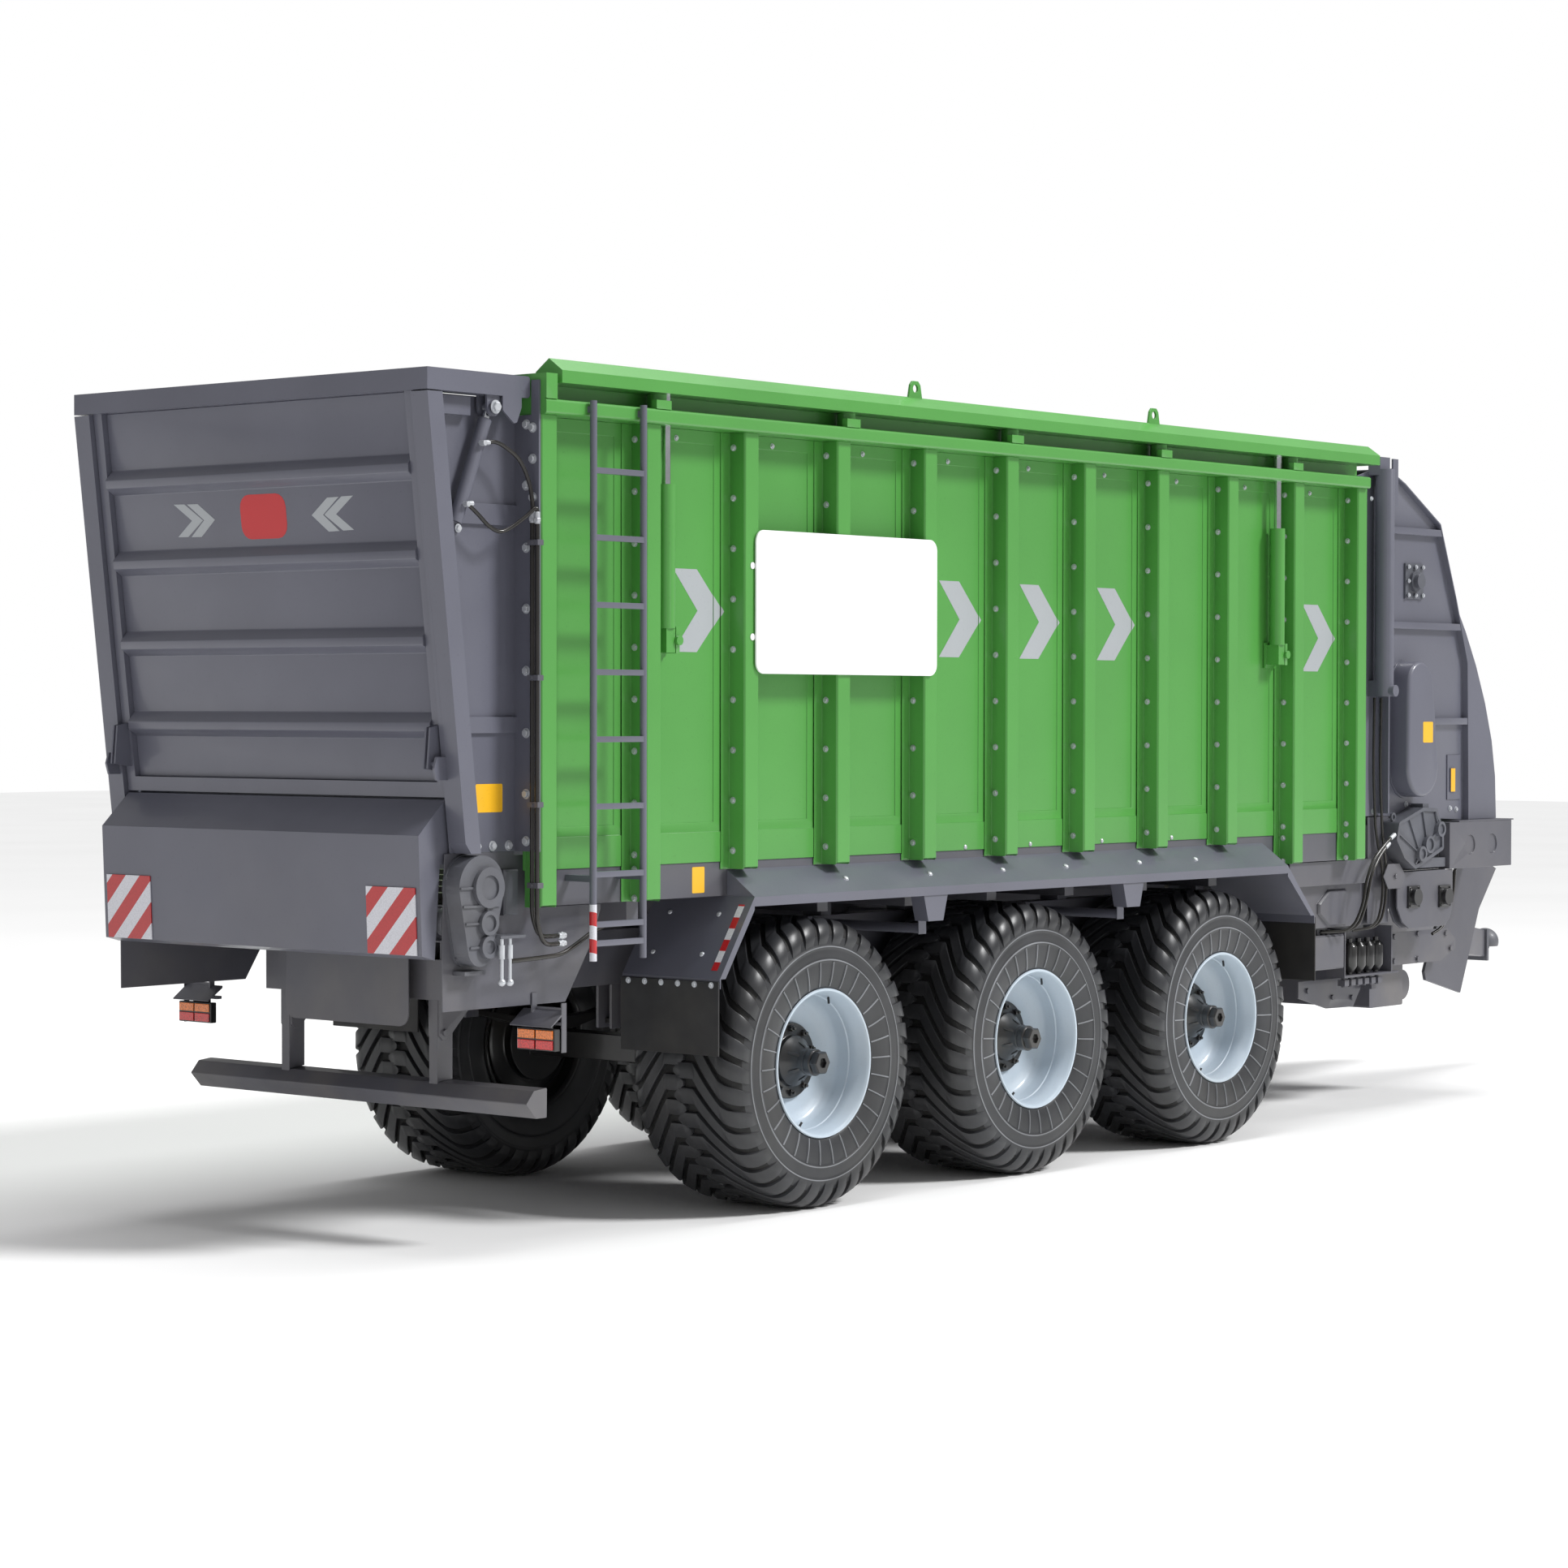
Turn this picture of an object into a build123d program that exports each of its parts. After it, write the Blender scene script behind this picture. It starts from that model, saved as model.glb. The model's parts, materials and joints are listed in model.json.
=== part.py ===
from build123d import *
import math
import os

# Three-axle bulk trailer. Millimetres, +X towards the drawbar, +Y to the left, +Z up.
# The model is laid out from the middle axle, and every part is shifted as it is written so
# that the origin lies at the middle of the ground rectangle that the trailer covers.

# ---- driving dimensions -------------------------------------------------------------------
LAYOUT_SHIFT = -1379.5
AXLE_STEP = 1715
WHEEL_RADIUS = 692.5
TYRE_INNER_Y = 610
TYRE_OUTER_Y = 1275
RIM_RADIUS = 337
SPINDLE_RADIUS = 45
RUNNING_GAP = 0.05

RAIL_Y = (420, 540)
RAIL_Z = (1070, 1330)
FLOOR_Z = 1500
WALL_Y = 1100
WALL_THICKNESS = 12
WALL_X = (-3600, 3330)
WALL_Z = (1660, 3643)
RIB_COUNT = 11
RIB_FIRST_X = -3547.5
RIB_STEP = 682.3
RIB_WIDTH = 105
RIB_OUTER_Y = 1200
RIB_FLANGE = 60
BOLT_STEP = 233
TOP_RAIL_Z = (3643, 3710)
TOP_RAIL_Y = (1100, 1230)

CAP_X = (-3500, 3413)
CAP_Z = (3783, 3838, 3894)
LIFT_X = (-2740, 2420)
LIFT_Y = 1160

HOUSING_Y = (1044, 1050)
POST_Y = 1147
REAR_TOP = (-4241, 3710)
REAR_BOTTOM = (-4012, 1790)
GATE_HINGE = (-3660, 3757)
GATE_CYLINDER_FOOT = (-4037, 3133)
GATE_CYLINDER_EYE = (-3824, 3661)
GATE_CYLINDER_Y = 1098

FLOOR_SHAFT = (-4000, 1451)
SHAFT_RADIUS = 30
SHAFT_END_Y = 1043
ROLLERS = {"upper": (4105, 3135), "middle": (4050, 2549), "lower": (3865, 1972)}
FEED_ROTOR = (4388, 1248)
INPUT_SHAFT = (4021, 1257)
COUPLING = (6910, 810)
SIDES = {"right": -1, "left": 1}


# ---- helpers ------------------------------------------------------------------------------
def block(x0, x1, y0, y1, z0, z1):
    """A box between its low and high limits, in any order."""
    size = (abs(x1 - x0), abs(y1 - y0), abs(z1 - z0))
    centre = ((x0 + x1) / 2, (y0 + y1) / 2, (z0 + z1) / 2)
    return Pos(*centre) * Box(*size)


def prism_y(points, y0, y1):
    """An outline of (x, z) points, extruded from y0 to y1."""
    low, high = min(y0, y1), max(y0, y1)
    outline = Polyline(*[(x, low, z) for x, z in points], close=True)
    return extrude(make_face(outline), high - low, dir=(0, 1, 0))


def prism_x(points, x0, x1):
    """An outline of (y, z) points, extruded from x0 to x1."""
    outline = Polyline(*[(x0, y, z) for y, z in points], close=True)
    return extrude(make_face(outline), x1 - x0, dir=(1, 0, 0))


def prism_z(points, z0, z1):
    """An outline of (x, y) points, extruded from z0 to z1."""
    outline = Polyline(*[(x, y, z0) for x, y in points], close=True)
    return extrude(make_face(outline), z1 - z0, dir=(0, 0, 1))


def rod(start, end, radius):
    """A cylinder between two points."""
    start, end = Vector(*start), Vector(*end)
    plane = Plane(origin=start, z_dir=end - start)
    return extrude(plane * Circle(radius), (end - start).length)


def rod_y(x, z, y0, y1, radius):
    return rod((x, min(y0, y1), z), (x, max(y0, y1), z), radius)


def rod_z(x, y, z0, z1, radius):
    return rod((x, y, z0), (x, y, z1), radius)


def turned_y(x, z, points):
    """A solid turned about a cross axle from (y, radius) points."""
    outline = Polyline(*[(x, y, z + r) for y, r in points], close=True)
    return revolve(make_face(outline), Axis((x, 0, z), (0, 1, 0)), 360)


def egg_y(low, high, y0, y1):
    """A plate round two circles, each given as x, z and radius."""
    circles = [Circle(r).edge() for _, _, r in (low, high)]
    placed = [Pos(x, z) * c for (x, z, _), c in zip((low, high), circles)]
    face = make_face(make_hull(placed).edges())
    plane = Plane(origin=(0, y1, 0), x_dir=(1, 0, 0), z_dir=(0, -1, 0))
    return extrude(plane * face, y1 - y0)


def mirrored(shape):
    return mirror(shape, about=Plane.XZ)


def sided(shape, side):
    """A shape drawn on the left, on the given side."""
    return shape if side > 0 else mirrored(shape)


def both(solids):
    """Solids drawn on the left, and their mirror images."""
    return list(solids) + [mirrored(s) for s in solids]


def hex_head(x, y, z, axis, size=11, height=10):
    """A bolt head standing on a face."""
    plane = Plane(origin=(x, y, z), z_dir=axis)
    return extrude(plane * RegularPolygon(size, 6), height)


def save(name, *parts):
    solids = [s for p in parts for s in (p.solids() if hasattr(p, "solids") else p)]
    shape = solids[0] if len(solids) == 1 else Compound(children=solids)
    os.makedirs("parts", exist_ok=True)
    export_step(shape.moved(Location((LAYOUT_SHIFT, 0, 0))), f"parts/{name}.step")
    print(name, len(solids), [round(v) for v in shape.bounding_box().size])


def rib_x(index):
    return RIB_FIRST_X + RIB_STEP * index


def rear_x(z):
    """The sloping rear face of the discharge housing."""
    slope = (REAR_BOTTOM[0] - REAR_TOP[0]) / (REAR_TOP[1] - REAR_BOTTOM[1])
    return REAR_TOP[0] + slope * (REAR_TOP[1] - z)


# ---- wheels and axles ---------------------------------------------------------------------
def tyre(x):
    outer = [(640, 337.5), (640, 357), (617, 372), (610, 470), (614, 590), (648, 668), (700, WHEEL_RADIUS)]
    middle = (TYRE_INNER_Y + TYRE_OUTER_Y) / 2
    outer += [(2 * middle - y, r) for y, r in reversed(outer)]
    inner = [(665, 337.5), (648, 380), (636, 480), (642, 590), (680, 640), (730, 655)]
    inner += [(2 * middle - y, r) for y, r in reversed(inner)]
    return turned_y(x, WHEEL_RADIUS, outer + list(reversed(inner)))


def rim(x):
    barrel = [(625, 329), (625, 355), (637, 355), (637, 337), (690, 337), (720, 300), (800, 300),
              (840, 337), (1245, 337), (1245, 355), (1258, 355), (1258, 345), (1240, 328),
              (1070, 322), (1040, 270), (1026, 200), (1026, 120), (1010, 120), (1010, 200),
              (1016, 290), (1030, 322), (845, 322), (800, 290), (715, 290), (688, 325)]
    return turned_y(x, WHEEL_RADIUS, barrel)


def hub(x):
    bore = SPINDLE_RADIUS
    body = [(640, bore), (640, 205), (800, 205), (800, 118), (1026, 118), (1026, 183), (1050, 183),
            (1050, 122), (1085, 122), (1165, 62), (1212, 62), (1212, 0), (1155, 0), (1155, bore)]
    nut = extrude(Plane(origin=(x, 1212, WHEEL_RADIUS), z_dir=(0, 1, 0)) * RegularPolygon(60, 6), 40)
    nut -= rod_y(x, WHEEL_RADIUS, 1230, 1260, 24)
    fins = []
    for i in range(6):
        fin = prism_y([(x - 9, WHEEL_RADIUS + 55), (x + 9, WHEEL_RADIUS + 55),
                       (x + 9, WHEEL_RADIUS + 112), (x - 9, WHEEL_RADIUS + 112)], 1050, 1130)
        fins.append(fin.rotate(Axis((x, 0, WHEEL_RADIUS), (0, 1, 0)), 60 * i))
    solid = turned_y(x, WHEEL_RADIUS, body) + nut
    for fin in fins:
        solid += fin
    return solid


def wheels():
    for row, place in (("front", AXLE_STEP), ("middle", 0), ("rear", -AXLE_STEP)):
        for side_name, side in SIDES.items():
            save(f"tyre_{row}_{side_name}", sided(tyre(place), side))
            save(f"rim_{row}_{side_name}", sided(rim(place), side), sided(hub(place), side))


def axles():
    beams = []
    for x in (-AXLE_STEP, 0, AXLE_STEP):
        beam = block(x - 65, x + 65, -600, 600, WHEEL_RADIUS - 65, WHEEL_RADIUS + 65)
        for side in (-1, 1):
            beam += rod_y(x, WHEEL_RADIUS, side * 600, side * 1150, SPINDLE_RADIUS - RUNNING_GAP)
            beam += rod_y(x, WHEEL_RADIUS, side * 600, side * 614, 200)
        beams.append(beam)
    save("axle_beams", *beams)
    springs = []
    for x in (-AXLE_STEP, 0, AXLE_STEP):
        seat = WHEEL_RADIUS + 65
        outline = [(x - 650, 880), (x - 250, 790), (x - 90, seat), (x + 90, seat), (x + 250, 790),
                   (x + 650, 880), (x + 650, 905), (x + 250, 832), (x + 90, 824), (x - 90, 824),
                   (x - 250, 832), (x - 650, 905)]
        springs += both([prism_y(outline, 446, 514)])
    save("leaf_springs", *springs)


def chassis():
    solids = []
    for y in (RAIL_Y, (-RAIL_Y[1], -RAIL_Y[0])):
        rail = block(-3550, 3670, y[0], y[1], *RAIL_Z)
        rail -= block(-3551, 3671, y[0] + 10, y[1] - 10, RAIL_Z[0] + 10, RAIL_Z[1] - 10)
        solids.append(rail)
    for x in (-AXLE_STEP, 0, AXLE_STEP):
        for end in (x - 650, x + 650):
            cheeks = [block(end - 45, end + 45, 430, 445, 860, RAIL_Z[0]),
                      block(end - 45, end + 45, 515, 530, 860, RAIL_Z[0])]
            solids += both(cheeks)
    for i in range(1, RIB_COUNT):
        x = rib_x(i)
        solids.append(block(x - 40, x + 40, -1070, 1070, 1395, FLOOR_Z))
        solids += both([block(x - 40, x + 40, RAIL_Y[0], RAIL_Y[1], RAIL_Z[1], 1395)])
    for x in (-3500, -1200, 600, 3400):
        solids.append(block(x - 40, x + 40, -RAIL_Y[0], RAIL_Y[0], 1120, 1280))
    solids.append(block(-3548, -3505, -1044, 1044, 1395, FLOOR_Z))
    solids += both(side_beam())
    save("chassis_frame", *solids)


def side_beam():
    """The box beam under the front of the hopper, its raised plate and the panels above it."""
    beam = block(2675, 3690, 900, 1020, 1105, 1355) - block(2683, 3682, 908, 1012, 1113, 1347)
    raised = prism_y([(3085, 1190), (3085, 1250), (3200, 1325), (3395, 1325), (3395, 1112), (3200, 1112)],
                     1020, 1038)
    beam += chamfer(raised.edges().group_by(Axis.Y)[-1], 12)
    for x in (2800, 3450):
        beam += block(x - 40, x + 40, RAIL_Y[1], 900, 1180, 1280)
    return [beam, block(2700, 3596, 1071, 1077, 1357, 1496)]


# ---- hopper -------------------------------------------------------------------------------
def floor_parts():
    plate = block(-3495, 3330, -1099, 1099, FLOOR_Z, FLOOR_Z + 10)
    for side in (-1, 1):
        plate += block(-3495, 3330, side * 1085, side * 1099, FLOOR_Z + 10, WALL_Z[0])
    plate += block(-3900, -3495, -1040, 1040, FLOOR_Z, FLOOR_Z + 10)
    save("hopper_floor", plate)
    chains = []
    slats = []
    for y in (230, 780):
        chains += both([block(-3990, 3450, y - 18, y + 18, FLOOR_Z + 12, FLOOR_Z + 32)])
    for i in range(18):
        x = -3800 + i * 420
        slats += both([block(x - 20, x + 20, 30, 1030, FLOOR_Z + 32, FLOOR_Z + 62)])
    save("floor_chains", *chains)
    save("floor_slats", *slats)


def wall():
    panel = block(*WALL_X, WALL_Y - WALL_THICKNESS, WALL_Y, *WALL_Z)
    panel += block(*WALL_X, WALL_Y, WALL_Y + 5, WALL_Z[0], WALL_Z[0] + 140)
    for i in range(RIB_COUNT - 1):
        x0 = rib_x(i) + RIB_WIDTH / 2 + 45
        x1 = rib_x(i + 1) - RIB_WIDTH / 2 - RIB_FLANGE - 45
        panel -= block(x0, x1, WALL_Y - 4, WALL_Y + 1, WALL_Z[0] + 185, WALL_Z[1] - 60)
    return panel


def rib(index):
    x = rib_x(index)
    low = 1500 if index in (0, 1, 9, 10) else 1625
    half = RIB_WIDTH / 2
    outline = [(WALL_Y, low), (RIB_OUTER_Y - 12, low), (RIB_OUTER_Y, low + 12),
               (RIB_OUTER_Y, WALL_Z[1]), (WALL_Y, WALL_Z[1])]
    column = prism_x(outline, x - half, x + half)
    column = chamfer(column.edges().filter_by(Axis.Z).group_by(Axis.Y)[-1], 8)
    column -= block(x - half + 6, x + half - 6, WALL_Y - 1, RIB_OUTER_Y - 6, low - 1, WALL_Z[1] - 6)
    if index > 0:
        column += block(x - half - RIB_FLANGE, x - half, WALL_Y, WALL_Y + 6, low, WALL_Z[1])
    strip = block(x - half - RIB_FLANGE - 1, x + half + 1, WALL_Y - 1, WALL_Y + 5.2,
                  WALL_Z[0] - 0.2, WALL_Z[0] + 140.2)
    return column - strip


def top_rail():
    y0, y1 = TOP_RAIL_Y
    rail = block(-3600, 3310, y0, y1, *TOP_RAIL_Z)
    rail = fillet(rail.edges().filter_by(Axis.X).group_by(Axis.Y)[-1], 14)
    rail += block(-3600, -3530, 1030, y1, TOP_RAIL_Z[1], 3820)
    rail += block(-3600, -3530, 1030, 1100, TOP_RAIL_Z[0], TOP_RAIL_Z[1])
    for x in (-2830, -1465, -137, 1210, 2530):
        rail += block(x - 50, x + 50, 1196, 1228, TOP_RAIL_Z[1], TOP_RAIL_Z[1] + 40)
        rail += rod_z(x + 50, 1140, TOP_RAIL_Z[1], CAP_Z[0] - 1, 45)
    for x in LIFT_X:
        rail -= rod_z(x, LIFT_Y, TOP_RAIL_Z[0] - 1, CAP_Z[0] + 1, 26)
    return rail


def panel_bolts():
    bolts = []
    for i in range(1, RIB_COUNT):
        x = rib_x(i) - RIB_WIDTH / 2
        heights = [1710 + k * BOLT_STEP for k in range(9)]
        if i in (1, 9, 10):
            heights += [1515, 1645]
        for z in heights:
            bolts.append(hex_head(x, 1130, z, (-1, 0, 0), 13))
        bolts.append(hex_head(rib_x(i) + RIB_STEP / 2 - 80, WALL_Y, 3600, (0, 1, 0)))
    for z in (3584, 3449, 3283):
        bolts.append(hex_head(-3612, 1160, z, (-1, 0, 0), 18, 14))
    for z in (3600, 3335, 3065, 2800, 2530, 2260, 1995, 1790):
        bolts.append(hex_head(-3612, 1122, z, (-1, 0, 0), 18, 14))
    for x in (-3844, -3749, -3650):
        bolts.append(hex_head(x, HOUSING_Y[1], 1771, (0, 1, 0), 18, 14))
    for x, z in ((3655, 1772), (4037, 1806), (4560, 1772), (4634, 1765)):
        bolts.append(hex_head(x, HOUSING_Y[1], z, (0, 1, 0), 14))
    save("panel_bolts", *both(bolts))


def hopper():
    save("hopper_walls", *both([wall()]))
    save("side_ribs", *both([rib(i) for i in range(RIB_COUNT)]))
    save("top_rails", *both([top_rail()]))
    panel_bolts()


def extension(side):
    cap = prism_x([(1230, CAP_Z[0]), (1230, CAP_Z[1]), (1150, CAP_Z[2]), (1070, CAP_Z[1] - 1),
                   (1070, CAP_Z[0])], *CAP_X)
    cap += block(-3480, 3300, 1070, 1080, 3300, CAP_Z[0]) + block(3300, 3405, 1070, 1080, 3716, CAP_Z[0])
    for x in (-892, 1192):
        eye = prism_y([(x - 62, 3850), (x + 62, 3850), (x + 40, 3955), (x + 22, 3974),
                       (x - 22, 3974), (x - 40, 3955)], 1144, 1156)
        cap += eye
        cap -= rod_y(x, 3937, 1100, 1200, 20)
    for x in LIFT_X:
        cap += rod_z(x, LIFT_Y, 2960, CAP_Z[0] + 10, 20)
    return sided(cap, side)


def lift_cylinder(x):
    body = rod_z(x, LIFT_Y, 2730, 3380, 42)
    body -= rod_z(x, LIFT_Y, 2760, 3350, 34)
    body -= rod_z(x, LIFT_Y, 3340, 3381, 20 + RUNNING_GAP)
    body += block(x - 45, x + 58, WALL_Y, 1112, 2600, 2742)
    body += block(x - 30, x + 30, 1112, 1190, 2620, 2730) + block(x + 34, x + 58, 1112, 1192, 2618, 2738)
    return body + rod((x + 30, 1160, 2676), (x + 74, 1160, 2676), 20) + rod_y(x + 46, 2676, 1192, 1206, 22)


def pole():
    x = 3641
    body = rod_z(x, 1130, 2447, 3775, 56)
    body += block(x - 56, x + 56, HOUSING_Y[1], 1130, 3740, 3846)
    body += block(x - 50, x + 50, HOUSING_Y[1], 1130, 2447, 2540)
    return body + rod_y(x, 2480, 1130, 1210, 34)


def ladder():
    frame = []
    for x in (-3325, -2997):
        rail = rod_z(x, -1253, 1257, 3715, 16)
        rail += block(x - 14, x + 14, -1253, -TOP_RAIL_Y[1], 3662, 3690)
        rail += block(x - 14, x + 14, -1253, -1099, 1606, 1634)
        frame.append(rail)
    whole = frame[0] + frame[1]
    for z in (3411, 3117, 2822, 2527, 2232, 1937, 1638, 1418, 1335):
        whole += block(-3325, -2997, -1266, -1240, z - 13, z + 13)
    save("ladder", whole)


def fittings():
    boards = []
    board = block(-2170, -790, 1205, 1215, 2530, 3197)
    board = fillet(board.edges().filter_by(Axis.Y), 55)
    boards.append(board)
    for i in (2, 3, 4):
        for z in (2700, 3030):
            boards.append(rod_y(rib_x(i), z, RIB_OUTER_Y, 1205, 16))
    save("sign_boards", *both(boards))
    ladder()
    save("lift_cylinders", *both([lift_cylinder(x) for x in LIFT_X]))


# ---- running gear covers ------------------------------------------------------------------
def fender():
    x0, x1 = -2244, 2369
    top = prism_x([(WALL_Y, 1622), (1270, 1500), (1270, 1456), (1264, 1456), (1264, 1496),
                   (WALL_Y, 1614)], x0, x1)
    pieces = [top]
    for xa, xb, zb, out in ((x0, -2490, 1132, -1), (x1, 2655, 1209, 1)):
        plate = [(xa, 1500), (xb, zb), (xb, zb - 44), (xb - 6 * out, zb - 44), (xb - 6 * out, zb),
                 (xa, 1490)]
        piece = prism_y(plate, 670, 1270)
        lip = [(xa, 1500), (xb, zb), (xb - 40 * out, zb), (xa, 1440)]
        pieces.append(piece + prism_y(lip, 1264, 1270))
        cap = prism_x([(WALL_Y, 1502), (WALL_Y, 1613), (1262, 1497)], xa - 6, xa + 6)
        pieces.append(Pos(-7 * out, 0, 0) * cap)
    for x in (-857, 857):
        support = prism_y([(x - 95, 1455), (x - 60, 1330), (x + 60, 1330), (x + 95, 1455)], 1180, 1263)
        pieces.append(support)
        pieces.append(rod((x, 540, 1290), (x, 1175, 1290), 25) + block(x - 30, x + 30, 1175, 1180, 1262, 1400))
    return pieces


def covers():
    save("fenders", *both(fender()))
    flaps = both([block(-2502, -2492, 670, 1270, 780, 1120), block(2657, 2667, 670, 1270, 840, 1200)])
    save("mudflaps", *flaps)


# ---- rear unit ----------------------------------------------------------------------------
def rear_housing():
    y0, y1 = HOUSING_Y
    panel = prism_y([(rear_x(3709), 3709), (rear_x(1745), 1745), (-3600, 1745), (-3600, 3709)], y0, y1)
    rear = [(rear_x(3705), 3705), (rear_x(1790), 1790), (rear_x(1745) + 30, 1745),
            (rear_x(1745) + 90, 1745), (rear_x(3705) + 90, 3705)]
    panel += prism_y(rear, y1, POST_Y)
    panel += block(-3612, -3600, y1, 1196, 1745, 3640)
    panel += block(-3612, -3600, 1150, 1196, 3640, 3790)
    for z0, z1 in ((3160, 3250), (2260, 2330)):
        panel += block(rear_x(z1) + 80, -3612, y1, y1 + 16, z0, z1)
    panel += block(rear_x(3700) + 80, -3930, y1, y1 + 45, 3620, 3700)
    foot_x, foot_z = GATE_CYLINDER_FOOT
    panel += block(foot_x - 30, foot_x + 30, y1, GATE_CYLINDER_Y - 22, foot_z - 50, foot_z + 14)
    panel += rod_y(foot_x, foot_z, y1, 1126, 15 - RUNNING_GAP)
    hinge_x, hinge_z = GATE_HINGE
    lug = prism_y([(hinge_x - 42, 3650), (-3600, 3600), (-3600, 3800), (hinge_x + 20, 3800),
                   (hinge_x - 42, 3780)], 1030, y0)
    panel += lug
    panel += rod_y(hinge_x, hinge_z, y0, 1147, 18)
    hook = prism_y([(-4035, 2060), (-4035, 2160), (-4110, 2160), (-4125, 2110), (-4110, 2060)],
                   1060, 1072)
    return panel + hook


def gate_frame():
    hinge_x, hinge_z = GATE_HINGE
    bars = [block(-4241, -4150, -1147, 1147, 3711, 3805)]
    for side in (-1, 1):
        arm = block(-4150, -3616, 1053, 1147, 3711, 3805)
        arm = fillet(arm.edges().filter_by(Axis.Y).group_by(Axis.X)[-1], 16)
        arm -= rod_y(hinge_x, hinge_z, 1052, 1148, 18 + RUNNING_GAP)
        gusset = prism_y([(-3785, 3715), (-3785, 3650), (-3715, 3597), (-3697, 3601), (-3668, 3668),
                          (-3668, 3715)], 1137, 1147)
        arm += gusset
        lug_x, lug_z = GATE_CYLINDER_EYE
        for y0, y1 in ((1066, 1078), (1120, 1132)):
            lug = block(lug_x - 42, lug_x + 34, y0, y1, lug_z, 3715)
            lug += rod_y(lug_x - 4, lug_z - 2, y0, y1, 38)
            arm += lug
        arm += rod_y(lug_x - 4, lug_z, 1132, 1144, 17)
        bars.append(sided(arm, side))
        edge = [(rear_x(3711) + 24, 3711), (rear_x(1985) + 24, 1985), (rear_x(1985) + 78, 1985),
                (rear_x(3711) + 78, 3711)]
        stile = prism_y(edge, 984, 1040)
        cheek = [(-4015, 2095), (-4035, 2300), (-4110, 2285), (-4125, 2110)]
        for y in (1000, 1024):
            stile += prism_y(cheek, y, y + 10)
        bars.append(sided(stile + rod_y(-4095, 2130, 1000, 1052, 11), side))
    low = [(rear_x(2050) + 24, 2050), (rear_x(1985) + 24, 1985), (rear_x(1985) + 78, 1985),
           (rear_x(2050) + 78, 2050)]
    bars.append(prism_y(low, -984, 984))
    return bars


def gate_panel():
    top, bottom = 3711, 2050
    sheet = [(rear_x(top) + 52, top), (rear_x(bottom) + 52, bottom), (rear_x(bottom) + 62, bottom),
             (rear_x(top) + 62, top)]
    panel = prism_y(sheet, -984, 984)
    for i in range(4):
        z = 3388 - 367 * i
        ridge = [(rear_x(z + 64) + 53, z + 64), (rear_x(z + 18) + 8, z + 18),
                 (rear_x(z - 18) + 8, z - 18), (rear_x(z - 50) + 53, z - 50)]
        panel += prism_y(ridge, -984, 984)
    return panel


def gate_cylinder(side):
    foot = Vector(GATE_CYLINDER_FOOT[0], GATE_CYLINDER_Y, GATE_CYLINDER_FOOT[1])
    eye = Vector(GATE_CYLINDER_EYE[0], GATE_CYLINDER_Y, GATE_CYLINDER_EYE[1])
    along = (eye - foot).normalized()
    start, stop = foot + along * 26, foot + along * 512
    barrel = rod(start, stop, 30) - rod(start + along * 20, stop + along, 18 + RUNNING_GAP)
    barrel += rod_y(foot.X, foot.Z, GATE_CYLINDER_Y - 14, GATE_CYLINDER_Y + 14, 34)
    barrel -= rod_y(foot.X, foot.Z, GATE_CYLINDER_Y - 20, GATE_CYLINDER_Y + 20, 15)
    piston_rod = rod(foot + along * 180, eye - along * 20, 18)
    piston_rod += rod_y(eye.X, eye.Z, GATE_CYLINDER_Y - 12, GATE_CYLINDER_Y + 12, 26)
    return sided(barrel, side), sided(piston_rod, side)


def lower_hood():
    hood_outer = [(-3940, 1975), (-4020, 1975), (-4178, 1825), (-4156, 1310), (-4080, 1290)]
    hood_inner = [(-4080, 1297), (-4150, 1315), (-4172, 1823), (-4020, 1967), (-3948, 1967)]
    hood = prism_y(hood_outer + hood_inner, -1030, 1030)
    hood += block(-3948, -3940, -1030, 1030, 1967, 2040)
    for side in (-1, 1):
        cheek = prism_y([(-3940, 1975), (-4020, 1975), (-4178, 1825), (-4156, 1310), (-4080, 1290),
                         (-4050, 1700), (-3940, 1700)], 1024, 1030)
        hood += sided(cheek, side)
    save("lower_hood", hood)


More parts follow.
